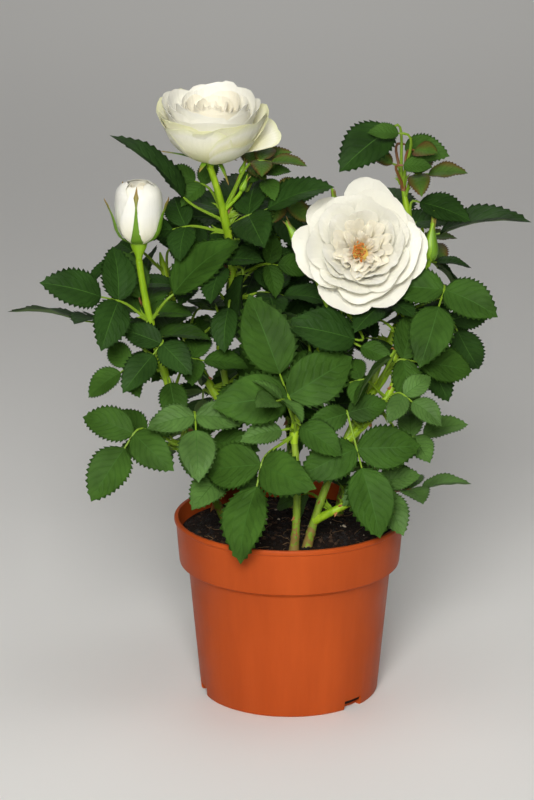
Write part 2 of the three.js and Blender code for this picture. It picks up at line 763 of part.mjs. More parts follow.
for (const mass of Object.values(masses)) {
  for (const pose of mass.buds ?? []) {
    grow(mass, buildSmallBud(mass.curve, pose));
  }
}
for (const mass of Object.values(masses)) {
  for (const pose of mass.leaves) {
    let attempt = 0;
    while (attempt < POSED_TRIES && !grow(mass, buildLeaf(posedLeaf(mass, pose, attempt)))) {
      attempt += 1;
    }
  }
}

for (const mass of Object.values(masses)) {
  for (let index = 0; index < mass.spiral; index += 1) {
    for (let attempt = 0; attempt < TRIES; attempt += 1) {
      const plan = spiralLeaf(mass, index, attempt);
      if (insideCrown(plan) && grow(mass, buildLeaf(plan))) {
        break;
      }
    }
  }
}

const group = new THREE.Group();
for (const [name, solid] of Object.entries(solids)) {
  const look = finish[name.split('_')[0]] ?? finish.bloom;
  group.add(meshOf(name, solid, look));
}
for (const [name, mass] of Object.entries(masses)) {
  const pieces = mass.twigs.flatMap((twig) => twig.all);
  group.add(meshOf(name, fused([mass.shoot, ...pieces]), finish.foliage));
}

export default group;
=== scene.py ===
import math

import bpy
from mathutils import Matrix, Quaternion, Vector, noise
from mathutils.bvhtree import BVHTree


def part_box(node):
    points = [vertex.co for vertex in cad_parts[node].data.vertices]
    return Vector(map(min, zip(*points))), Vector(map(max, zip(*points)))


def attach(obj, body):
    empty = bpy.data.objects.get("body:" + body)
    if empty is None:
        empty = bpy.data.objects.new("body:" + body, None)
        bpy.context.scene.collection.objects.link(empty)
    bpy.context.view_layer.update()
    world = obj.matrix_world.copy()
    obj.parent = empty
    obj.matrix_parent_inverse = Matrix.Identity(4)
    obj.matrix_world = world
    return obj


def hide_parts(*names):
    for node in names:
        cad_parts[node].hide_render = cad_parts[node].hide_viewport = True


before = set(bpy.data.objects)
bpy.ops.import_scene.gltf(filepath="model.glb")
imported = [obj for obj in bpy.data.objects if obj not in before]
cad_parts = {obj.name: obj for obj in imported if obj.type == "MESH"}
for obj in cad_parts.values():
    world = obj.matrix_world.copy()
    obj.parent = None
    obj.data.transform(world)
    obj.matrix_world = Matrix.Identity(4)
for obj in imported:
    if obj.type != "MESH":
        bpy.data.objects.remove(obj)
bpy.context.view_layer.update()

# Studio ----------------------------------------------------------------------------------
# A pale seamless table top under soft light: a narrow softbox in front, a small one overhead
# and a large one that lights the backdrop from behind. The surround is dim, so that the pot's
# sides and the inside of the bush fall dark.


def paint(code):
    """A colour written as six hex digits, in Blender's linear values, opaque."""
    parts = [int(code[place:place + 2], 16) / 255 for place in (0, 2, 4)]
    return (*(((part + 0.055) / 1.055) ** 2.4 if part > 0.04 else part / 12.92
              for part in parts), 1)


def deselect():
    bpy.ops.object.select_all(action="DESELECT")


TABLE_SIZE = 8
TABLE_CENTRE = (0, 1.5, 0)
table_matt = bpy.data.materials.new("table_top")
table_matt.use_nodes = True
table_shader = table_matt.node_tree.nodes["Principled BSDF"]
table_shader.inputs["Base Color"].default_value = paint("e9e7e2")
table_shader.inputs["Roughness"].default_value = 0.75
deselect()
bpy.ops.mesh.primitive_plane_add(size=TABLE_SIZE, location=TABLE_CENTRE)
table = bpy.context.object
table.name = "table_top"
table.data.transform(table.matrix_world)
table.matrix_world = Matrix.Identity(4)
table.data.materials.append(table_matt)

# Each softbox: its place, the spot that it is aimed at, its size, power and spread in degrees.
softboxes = {
    "front_softbox": ((-0.12, -1.5, 0.92), (0, 0, 0), 0.6, 3.75, 60),
    "top_softbox": ((0.1, 0, 1.4), (0, 0, 0), 0.7, 3.2, 180),
    "back_softbox": ((0, 2.6, 1.9), (0, 2.6, 0), 1.6, 16, 180),
}
for name, (place, aim, size, power, spread) in softboxes.items():
    light = bpy.data.lights.new(name, "AREA")
    light.size = size
    light.energy = power
    light.spread = math.radians(spread)
    lamp = bpy.data.objects.new(name, light)
    lamp.location = place
    lamp.rotation_euler = (Vector(aim) - Vector(place)).to_track_quat("-Z", "Y").to_euler()
    bpy.context.scene.collection.objects.link(lamp)

SURROUND_STRENGTH = 0.07
surround = bpy.data.worlds.new("surround")
surround.use_nodes = True
backdrop = surround.node_tree.nodes["Background"]
backdrop.inputs["Color"].default_value = (1, 1, 1, 1)
backdrop.inputs["Strength"].default_value = SURROUND_STRENGTH
bpy.context.scene.world = surround
bpy.context.scene.view_settings.view_transform = "Standard"

# The camera looks down on the bush from the front by a little over 16 degrees.
lens = bpy.data.cameras.new("camera")
lens.sensor_width = 36
lens.lens = 136.5
camera = bpy.data.objects.new("camera", lens)
camera.location = (-0.0117, -1.5, 0.5928)
camera.rotation_euler = (math.radians(73.79), 0, 0)
bpy.context.scene.collection.objects.link(camera)
bpy.context.scene.camera = camera

# Pot -------------------------------------------------------------------------------------
# A thin nursery pot, injection-moulded in terracotta-coloured plastic in one piece: a tapering
# wall, a deep collar that stiffens the rim, and a flat base with drainage notches round it.
MM = 0.001
pot_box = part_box("pot")
pot_height = pot_box[1].z
lip_radius = pot_box[1].x
collar_foot = pot_height - 24 * MM
collar_radius = lip_radius - 2.5 * MM
shoulder_radius = lip_radius - 7 * MM
base_radius = lip_radius - 13.5 * MM
pot_wall = 1.4 * MM
pot_floor = 2.2 * MM


def wall_radius(height):
    return base_radius + (shoulder_radius - base_radius) * height / collar_foot


def turned_shell(name, profile, vertices, rings=0, ring_width=0):
    """A disc drawn up through a profile of [radius, height], then inset in rings."""
    radius, height = profile[0]
    deselect()
    bpy.ops.mesh.primitive_circle_add(
        vertices=vertices, radius=radius, fill_type="NGON", location=(0, 0, height))
    shell = bpy.context.object
    shell.name = name
    bpy.ops.object.transform_apply(location=True)
    bpy.ops.object.mode_set(mode="EDIT")
    bpy.ops.mesh.select_all(action="SELECT")
    for next_radius, next_height in profile[1:]:
        growth = next_radius / radius
        bpy.ops.mesh.extrude_region_move(
            TRANSFORM_OT_translate={"value": (0, 0, next_height - height)})
        bpy.ops.transform.resize(
            value=(growth, growth, 1), center_override=(0, 0, next_height))
        radius, height = next_radius, next_height
    for _ in range(rings):
        bpy.ops.mesh.inset(thickness=ring_width)
    bpy.ops.mesh.select_all(action="SELECT")
    bpy.ops.mesh.normals_make_consistent(inside=False)
    bpy.ops.object.mode_set(mode="OBJECT")
    return shell


# The wall's profile, from the base up the outside, over the lip and down the inside.
pot_shell = turned_shell("pot_shell", [
    (base_radius - 1.2 * MM, 0),
    (base_radius - 0.4 * MM, 0.25 * MM),
    (base_radius, 1.2 * MM),
    (wall_radius(collar_foot * 0.5), collar_foot * 0.5),
    (wall_radius(collar_foot - 3.4 * MM), collar_foot - 3.4 * MM),
    (wall_radius(collar_foot - 3 * MM) + 0.3 * MM, collar_foot - 2.8 * MM),
    (collar_radius - 1.3 * MM, collar_foot - 1 * MM),
    (collar_radius - 0.3 * MM, collar_foot - 0.3 * MM),
    (collar_radius, collar_foot + 0.8 * MM),
    (lip_radius - 0.9 * MM, pot_height - 3 * MM),
    (lip_radius - 0.2 * MM, pot_height - 2.5 * MM),
    (lip_radius, pot_height - 1.9 * MM),
    (lip_radius, pot_height - 0.9 * MM),
    (lip_radius - 0.4 * MM, pot_height - 0.2 * MM),
    (lip_radius - 1.1 * MM, pot_height),
    (lip_radius - pot_wall - 0.6 * MM, pot_height - 0.2 * MM),
    (lip_radius - pot_wall - 0.9 * MM, pot_height - 1.2 * MM),
    (collar_radius - pot_wall, collar_foot + 2 * MM),
    (wall_radius(collar_foot) - pot_wall, collar_foot - 2 * MM),
    (wall_radius(pot_floor) - pot_wall, pot_floor),
], vertices=128)

POT_SHARP_ANGLE = 32
NOTCHES = 3
FIRST_NOTCH = -45
notch_width = 12 * MM
notch_height = 5 * MM
notch_depth = 4 * MM
cutter_length = 16 * MM
for notch in range(NOTCHES):
    turn = math.radians(FIRST_NOTCH + 360 / NOTCHES * notch)
    reach = base_radius - notch_depth + cutter_length / 2
    deselect()
    bpy.ops.mesh.primitive_cube_add(
        size=1, location=(reach * math.cos(turn), reach * math.sin(turn), 0),
        rotation=(0, 0, turn), scale=(cutter_length, notch_width, 2 * notch_height))
    cutter = bpy.context.object
    bpy.context.view_layer.objects.active = pot_shell
    cut = pot_shell.modifiers.new("notch", "BOOLEAN")
    cut.operation = "DIFFERENCE"
    cut.object = cutter
    bpy.ops.object.modifier_apply(modifier="notch")
    bpy.data.objects.remove(cutter)
deselect()
pot_shell.select_set(True)
bpy.context.view_layer.objects.active = pot_shell
bpy.ops.object.shade_smooth_by_angle(angle=math.radians(POT_SHARP_ANGLE))


class Skin:
    """A material, its shader, and the nodes that vary it."""

    def __init__(self, name, colour, roughness, **inputs):
        self.material = bpy.data.materials.new(name)
        self.material.use_nodes = True
        self.tree = self.material.node_tree
        self.shader = self.tree.nodes["Principled BSDF"]
        self.set(Base_Color=paint(colour), Roughness=roughness, **inputs)

    def feed(self, socket, value):
        """Give a socket a constant, or what another node puts out."""
        if isinstance(value, bpy.types.NodeSocket):
            self.tree.links.new(value, socket)
        else:
            socket.default_value = value

    def set(self, **inputs):
        """The shader's own inputs by name."""
        for name, value in inputs.items():
            self.feed(self.shader.inputs[name.replace("_", " ")], value)

    def add(self, kind, **settings):
        """A new node's outputs. Its settings and its inputs are given by name."""
        node = self.tree.nodes.new("ShaderNode" + kind)
        for name, value in settings.items():
            if hasattr(node, name):
                setattr(node, name, value)
            else:
                self.feed(node.inputs[name.replace("_", " ")], value)
        return node.outputs

    def spot(self):
        """Where on the object a point lies."""
        return self.add("TexCoord")["Object"]

    def lie(self):
        """Where on its leaf or petal a point lies, across and along it."""
        return self.add("UVMap", uv_map="lie")["UV"]

    def split(self, place):
        return self.add("SeparateXYZ", Vector=place)

    def stretched(self, place, scale):
        return self.add("Mapping", Vector=place, Scale=scale)["Vector"]

    def patches(self, place, scale, detail, roughness=0.5):
        """Soft random patches."""
        return self.add("TexNoise", Vector=place, Scale=scale, Detail=detail,
                        Roughness=roughness)["Fac"]

    def reckon(self, operation, *values):
        """A calculation with one, two or three values."""
        node = self.tree.nodes.new("ShaderNodeMath")
        node.operation = operation
        for place, value in enumerate(values):
            self.feed(node.inputs[place], value)
        return node.outputs["Value"]

    def mapped(self, value, given, wanted=(0, 1), **more):
        """A value that runs over one range, carried over to another."""
        return self.add("MapRange", Value=value, From_Min=given[0], From_Max=given[1],
                        To_Min=wanted[0], To_Max=wanted[1], **more)["Result"]

    def mixed(self, factor, first, second):
        return self.add("Mix", data_type="RGBA", Factor=factor, A=first, B=second)["Result"]

    def ramp(self, value, *stops):
        """A colour that runs through stops, each a position and a colour."""
        node = self.tree.nodes.new("ShaderNodeValToRGB")
        band = node.color_ramp.elements
        for place, (position, colour) in enumerate(stops):
            stop = band[place] if place < len(band) else band.new(position)
            stop.position = position
            stop.color = paint(colour)
        self.feed(node.inputs["Fac"], value)
        return node.outputs["Color"]

    def emboss(self, height, strength, distance):
        """A fine relief over the whole skin."""
        self.set(Normal=self.add(
            "Bump", Height=height, Strength=strength, Distance=distance)["Normal"])


# The melt's faint streaks run up the wall, under a fine orange-peel grain, and handling has
# dulled the plastic in patches.
pot_plastic = Skin("pot_plastic", "bd4f20", 0.42, Specular_IOR_Level=0.08)
pot_spot = pot_plastic.spot()
pot_streaks = pot_plastic.patches(
    pot_plastic.stretched(pot_spot, (60, 60, 6)), scale=1, detail=5, roughness=0.6)
pot_rubs = pot_plastic.patches(pot_spot, scale=45, detail=4)
pot_grain = pot_plastic.patches(pot_spot, scale=900, detail=3)
pot_plastic.set(
    Base_Color=pot_plastic.ramp(pot_streaks, (0.3, "a44419"), (0.75, "b8501f")),
    Roughness=pot_plastic.mapped(pot_rubs, (0.35, 0.7), (0.36, 0.5)))
pot_plastic.emboss(pot_grain, strength=0.08, distance=0.0004)
pot_shell.data.materials.append(pot_plastic.material)
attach(pot_shell, "root")
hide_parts("pot")

# Compost ---------------------------------------------------------------------------------
# Moist peat-based compost, filled by hand to just under the rim: dark crumbs pressed together,
# with paler crumbs, fine fibres and a few bright grains lying on it.


def seeded(seed):
    """A repeatable source of random numbers, the same numbers for the same seed."""
    whole = 0xFFFFFFFF
    state = seed * 7919

    def draw():
        nonlocal state
        state = int(state + 0x6D2B79F5) & whole
        mixed = ((state ^ (state >> 15)) * (1 | state)) & whole
        mixed = ((mixed + (((mixed ^ (mixed >> 7)) * (61 | mixed)) & whole)) ^ mixed) & whole
        return ((mixed ^ (mixed >> 14)) & whole) / 4294967296

    return draw


class Gathered:
    """Many small like parts, in millimetres, gathered into one mesh."""
    SHARP_ANGLE = 55

    def __init__(self):
        self.points = []
        self.faces = []
        self.tints = []
        self.places = []

    def add(self, points, faces, places=None, tints=0):
        """A part. Its tints say which skin each of its faces, or all of them, have."""
        first = len(self.points)
        self.points.extend(points)
        self.faces.extend([[first + corner for corner in face] for face in faces])
        self.tints.extend(tints if isinstance(tints, list) else [tints] * len(faces))
        self.places.extend(places or [(0.5, 0.5)] * len(points))

    def piece(self, name, skins):
        mesh = bpy.data.meshes.new(name)
        mesh.from_pydata([point * MM for point in self.points], [], self.faces)
        mesh.polygons.foreach_set("material_index", self.tints)
        mesh.polygons.foreach_set("use_smooth", [True] * len(self.faces))
        layer = mesh.uv_layers.new(name="lie")
        corners = [self.places[loop.vertex_index] for loop in mesh.loops]
        layer.data.foreach_set("uv", [value for corner in corners for value in corner])
        for skin in skins:
            mesh.materials.append(skin.material)
        mesh.set_sharp_from_angle(angle=math.radians(self.SHARP_ANGLE))
        made = bpy.data.objects.new(name, mesh)
        bpy.context.scene.collection.objects.link(made)
        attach(made, "root")
        return made


SOIL_RINGS = 26
soil_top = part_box("soil")[1].z
soil_room = 0.4 * MM
soil_edge = lip_radius - 3.2 * MM
soil_drop = 2.2 * MM
compost = turned_shell("compost", [
    (wall_radius(pot_floor) - pot_wall - soil_room, pot_floor + soil_room),
    (wall_radius(collar_foot) - pot_wall - soil_room, collar_foot - 2 * MM),
    (collar_radius - pot_wall - soil_room, collar_foot + 2.2 * MM),
    (soil_edge, soil_top - soil_drop),
], vertices=144, rings=SOIL_RINGS, ring_width=soil_edge / (SOIL_RINGS + 1.5))


def compost_height(x, y):
    """The surface of the compost, in metres: pressed down at the rim, lumpy inside."""
    out = math.hypot(x, y) / soil_edge
    coarse = noise.noise(Vector((x, y, 0.3)) * 70)
    fine = noise.noise(Vector((x, y, 1.7)) * 330)
    crumbs = noise.noise(Vector((x, y, 3.1)) * 900)
    inside = min(1, (1 - out) * 6)
    level = soil_top - soil_drop + 2 * MM * min(1, (1 - out) * 5)
    return level + inside * MM * (0.7 * coarse + 0.75 * fine + 0.4 * crumbs)


for vertex in compost.data.vertices:
    if vertex.co.z > soil_top - 2.5 * MM:
        vertex.co.z = compost_height(vertex.co.x, vertex.co.y)
for polygon in compost.data.polygons:
    polygon.use_smooth = True

peat = Skin("peat", "1c110b", 0.95, Specular_IOR_Level=0.2)
peat_lumps = peat.patches(peat.spot(), scale=420, detail=6, roughness=0.65)
peat.set(Base_Color=peat.ramp(peat_lumps, (0.35, "0b0602"), (0.72, "2e1d13")))
peat.emboss(peat_lumps, strength=0.9, distance=0.0012)
compost.data.materials.append(peat.material)
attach(compost, "root")
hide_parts("soil")

# A crumb is a dented solid of twenty faces.
golden = (1 + 5 ** 0.5) / 2
CRUMB_POINTS = [
    Vector(corner).normalized() for corner in (
        (-1, golden, 0), (1, golden, 0), (-1, -golden, 0), (1, -golden, 0),
        (0, -1, golden), (0, 1, golden), (0, -1, -golden), (0, 1, -golden),
        (golden, 0, -1), (golden, 0, 1), (-golden, 0, -1), (-golden, 0, 1))]
CRUMB_FACES = [
    (0, 11, 5), (0, 5, 1), (0, 1, 7), (0, 7, 10), (0, 10, 11), (1, 5, 9), (5, 11, 4),
    (11, 10, 2), (10, 7, 6), (7, 1, 8), (3, 9, 4), (3, 4, 2), (3, 2, 6), (3, 6, 8),
    (3, 8, 9), (4, 9, 5), (2, 4, 11), (6, 2, 10), (8, 6, 7), (9, 8, 1)]


def on_compost(draw):
    """A random spot on the compost, in millimetres."""
    out = (soil_edge / MM - 1.5) * draw() ** 0.5
    turn = math.tau * draw()
    x, y = out * math.cos(turn), out * math.sin(turn)
    return Vector((x, y, compost_height(x * MM, y * MM) / MM))


def tube(points, radii, sides, rough=0):
    """A round limb along a course of points, closed at both ends, as points, faces and places."""
    corners, places, faces = [], [], []
    along = (points[1] - points[0]).normalized()
    over = along.orthogonal().normalized()
    run = 0.0
    for ring, (point, radius) in enumerate(zip(points, radii)):
        behind = points[max(ring - 1, 0)]
        ahead = points[min(ring + 1, len(points) - 1)]
        turned = (ahead - behind).normalized()
        over.rotate(along.rotation_difference(turned))
        along = turned
        across = along.cross(over).normalized()
        run += (point - behind).length if ring else 0
        for side in range(sides):
            turn = math.tau * side / sides
            out = over * math.cos(turn) + across * math.sin(turn)
            dent = rough * noise.noise((point + out * radius) * 0.9) if rough else 0
            corners.append(point + out * radius * (1 + dent))
            places.append((side / sides, run * 0.01))
    for ring in range(len(points) - 1):
        for side in range(sides):
            a = ring * sides + side
            b = ring * sides + (side + 1) % sides
            faces.append((a, b, b + sides, a + sides))
    last = (len(points) - 1) * sides
    faces.append(tuple(reversed(range(sides))))
    faces.append(tuple(range(last, last + sides)))
    return corners, faces, places


def random_turn(draw):
    """A random turn in space."""
    return Quaternion([draw() - 0.5 for _ in range(4)]).normalized()


CRUMBS = 1500
FIBRES = 90
FIBRE_STEPS = 6
DARK, BROWN, LIGHT_GRAIN, FIBROUS = range(4)
litter = Gathered()
draw = seeded(5)
for _ in range(CRUMBS):
    spot = on_compost(draw)
    size = 0.35 + 1.15 * draw() ** 2.5
    squash = Vector((0.7 + 0.6 * draw(), 0.7 + 0.6 * draw(), 0.5 + 0.5 * draw()))
    spin = random_turn(draw)
    lumps = [spot + spin @ (point * squash) * size * (0.75 + 0.5 * draw())
             for point in CRUMB_POINTS]
    kind = draw()
    tint = DARK if kind < 0.72 else BROWN if kind < 0.975 else LIGHT_GRAIN
    litter.add(lumps, CRUMB_FACES, tints=tint)
for _ in range(FIBRES):
    spot = on_compost(draw)
    heading = math.tau * draw()
    bend = draw() - 0.5
    length = 4 + 9 * draw()
    strand = []
    for step in range(FIBRE_STEPS):
        turn = heading + bend * step * 0.5
        spot = spot + Vector((math.cos(turn), math.sin(turn), 0)) * length / FIBRE_STEPS
        if math.hypot(spot.x, spot.y) < soil_edge / MM - 2:
            height = compost_height(spot.x * MM, spot.y * MM) / MM + 0.25 + 0.5 * draw()
            strand.append(Vector((spot.x, spot.y, height)))
    if len(strand) > 2:
        thin = 0.1 + 0.14 * draw()
        corners, faces, _ = tube(strand, [thin] * len(strand), sides=4)
        litter.add(corners, faces, tints=FIBROUS)
compost_litter = litter.piece("compost_litter", [
    Skin("dark_crumb", "130b06", 0.9), Skin("brown_crumb", "36220f", 0.9),
    Skin("pale_grain", "b9aa92", 0.6), Skin("fibre", "654c2f", 0.8)])

# Canes -----------------------------------------------------------------------------------
# Six young canes, from cuttings that rooted in the pot: green wood, round and slightly swollen
# at each leaf scar, a little corky at the foot, with a few small down-curved prickles.
canes = {
    "cane_left": dict(foot=(-33, 8), tip=(-59, -6, 157), bow=(-3, 2, -2)),
    "cane_front": dict(foot=(2, -38), tip=(2, -34, 146), bow=(3, -2, -1)),
    "cane_right": dict(foot=(9, -31), tip=(38, -18, 161), bow=(-6, -6, 0)),
    "cane_back_left": dict(foot=(-14, 24), tip=(-36, 18, 181), bow=(-4, 4, -14)),
    "cane_back_right": dict(foot=(26, 20), tip=(48, 40, 166), bow=(-4, -4, 2)),
    "cane_back": dict(foot=(2, 34), tip=(-4, 56, 172), bow=(2, 6, 0)),
}
CANE_FOOT = soil_top / MM + 0.3
FOOT_RADIUS = 2.7
TIP_RADIUS = 2.2
RIND_SHARE = 0.78
CANE_STEPS = 64
CANE_SCARS = 5
SCAR_WIDTH = 0.014
PRICKLE_SIDES = 6


class Course:
    """The course that a limb takes from one point to another, bowed to one side."""

    def __init__(self, start, end, bow):
        self.start = Vector(start)
        self.end = Vector(end)
        self.middle = (self.start + self.end) / 2 + Vector(bow)

    def at(self, share):
        rest = 1 - share
        return (self.start * rest * rest + self.middle * 2 * rest * share
                + self.end * share * share)

    def along(self, share):
        return ((self.middle - self.start) * (1 - share)
                + (self.end - self.middle) * share).normalized()


def mix(low, high, share):
    return low + (high - low) * share


def cane_radius(share):
    return mix(FOOT_RADIUS, TIP_RADIUS, share)


def rind_radius(share):
    """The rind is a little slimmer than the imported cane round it."""
    return RIND_SHARE * cane_radius(share)


def any_side(along, draw):
    """A random direction square to another."""
    side = along.orthogonal().normalized()
    side.rotate(Quaternion(along, math.tau * draw()))
    return side


def prickle(stem_point, along, out, length):
    """A small hooked prickle on a stem, its root sunk in the bark."""
    across = along.cross(out).normalized()
    rings = [(0, 0, 1.1, 0.45), (0.5, -0.12, 0.55, 0.25), (0.85, -0.38, 0.22, 0.12)]
    corners = []
    for height, droop, tall, wide in rings:
        middle = stem_point + out * length * height + along * length * droop
        for side in range(PRICKLE_SIDES):
            turn = math.tau * side / PRICKLE_SIDES
            corners.append(middle + (along * tall * math.cos(turn)
                                     + across * wide * math.sin(turn)) * length * 0.5)
    tip = len(corners)
    corners.append(stem_point + out * length - along * length * 0.62)
    faces = [tuple(range(PRICKLE_SIDES))]
    for ring in range(len(rings)):
        for side in range(PRICKLE_SIDES):
            a = ring * PRICKLE_SIDES + side
            b = ring * PRICKLE_SIDES + (side + 1) % PRICKLE_SIDES
            beyond = (a + PRICKLE_SIDES, b + PRICKLE_SIDES) if ring + 1 < len(rings) else (tip,)
            faces.append((b, a, *beyond))
    return corners, faces


def green_bark(name, dark, light):
    """Smooth green bark with faint streaks along the stem."""
    bark = Skin(name, light, 0.45, Specular_IOR_Level=0.25)
    streaks = bark.patches(bark.stretched(bark.spot(), (260, 260, 40)), scale=1, detail=4)
    bark.tones = bark.ramp(streaks, (0.3, dark), (0.7, light))
    bark.set(Base_Color=bark.tones)
    bark.emboss(streaks, strength=0.25, distance=0.0004)
    return bark


# The foot is corky: tan blotches that thin out within a few centimetres of the compost.
CORK_REACH = 0.03
rind = green_bark("rind", "5e8220", "8fa835")
rind_spot = rind.spot()
cork_share = rind.mapped(
    rind.split(rind_spot)["Z"], (soil_top, soil_top + CORK_REACH), (0.62, 0.2))
blotches = rind.patches(rind_spot, scale=420, detail=3)
corky = rind.reckon("LESS_THAN", blotches, cork_share)
rind.set(Base_Color=rind.mixed(corky, rind.tones, paint("86703a")))
prickle_horn = Skin("prickle_horn", "a8703c", 0.4)

cane_courses = {}
for index, (name, cane) in enumerate(canes.items()):
    course = Course((*cane["foot"], CANE_FOOT), cane["tip"], cane["bow"])
    cane_courses[name] = course
    draw = seeded(200 + index)
    scars = [(scar + 0.3 + 0.4 * draw()) / CANE_SCARS for scar in range(CANE_SCARS)]
    points = [course.at(step / CANE_STEPS) for step in range(CANE_STEPS + 1)]
    points.insert(0, points[0] - Vector((0, 0, 2.5)))
    radii = [FOOT_RADIUS * 1.3]
    for step in range(CANE_STEPS + 1):
        share = step / CANE_STEPS
        swelling = sum(math.exp(-((share - scar) / SCAR_WIDTH) ** 2) for scar in scars)
        flare = max(0, 1 - step * 0.06) ** 2
        radii.append(rind_radius(share) * (1 + 0.13 * swelling + 0.28 * flare))
    grown = Gathered()
    grown.add(*tube(points, radii, sides=14, rough=0.07))
    for scar in scars[:-1]:
        side = any_side(course.along(scar), draw)
        share = scar + 0.05 * draw()
        out = (side - course.along(share) * side.dot(course.along(share))).normalized()
        foot = course.at(share) + out * rind_radius(share) * 0.85
        grown.add(*prickle(foot, course.along(share), out, 2.2 + 1.4 * draw()), tints=1)
    cane_piece = grown.piece(name + "_rind", [rind, prickle_horn])
    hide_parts(name)

# Shoots and leaf stalks ------------------------------------------------------------------
# Each cane carries soft leafy shoots. The leaves stand on them by turns, each on a grooved
# stalk with two narrow stipules at its root, and divide into three, five or seven leaflets.
# A leaf's proportions are shares of its length, and its turns are in degrees.
BLADE_RATIO = 0.64
BLADE_ARCH = 0.07
BLADE_FOLD = 0.22
END_STALK = 0.22
SIDE_LENGTH = 0.9
SIDE_ANGLE = 78
LOW_LENGTH = 0.66
LOW_TURN = 10
PAIR_GAP = 0.5
LIGHT = Vector((0, -0.72, 0.7))
CROWN_CENTRE = Vector((-8, 18, 186))
CROWN_RADII = Vector((116, 98, 102))
SHOOT_RADIUS = 2.1
SHOOT_TIP = 1.7
SHOOT_STEPS = 36
NODE_WIDTH = 0.02
GAP = 0.3
# How far each value of a pose may be nudged for the leaf to lie clear.
NUDGE = (0, 3, 3, 0.5, 3, 3, 0, 0, 3)
POSED_TRIES = 40
SPIRAL_TRIES = 14
GOLDEN_TURN = 137.5
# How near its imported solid's surface the middle and the tip of a leaflet have to lie.
ON_SURFACE = 1.2
# What the growing rule draws between for a leaf of the spiral.
SPIRAL = dict(rise=(5, 50), reach=(14, 28), swing=70, blade_rise=(-45, 20), length=(34, 50),
              single=0.75, roll=50)

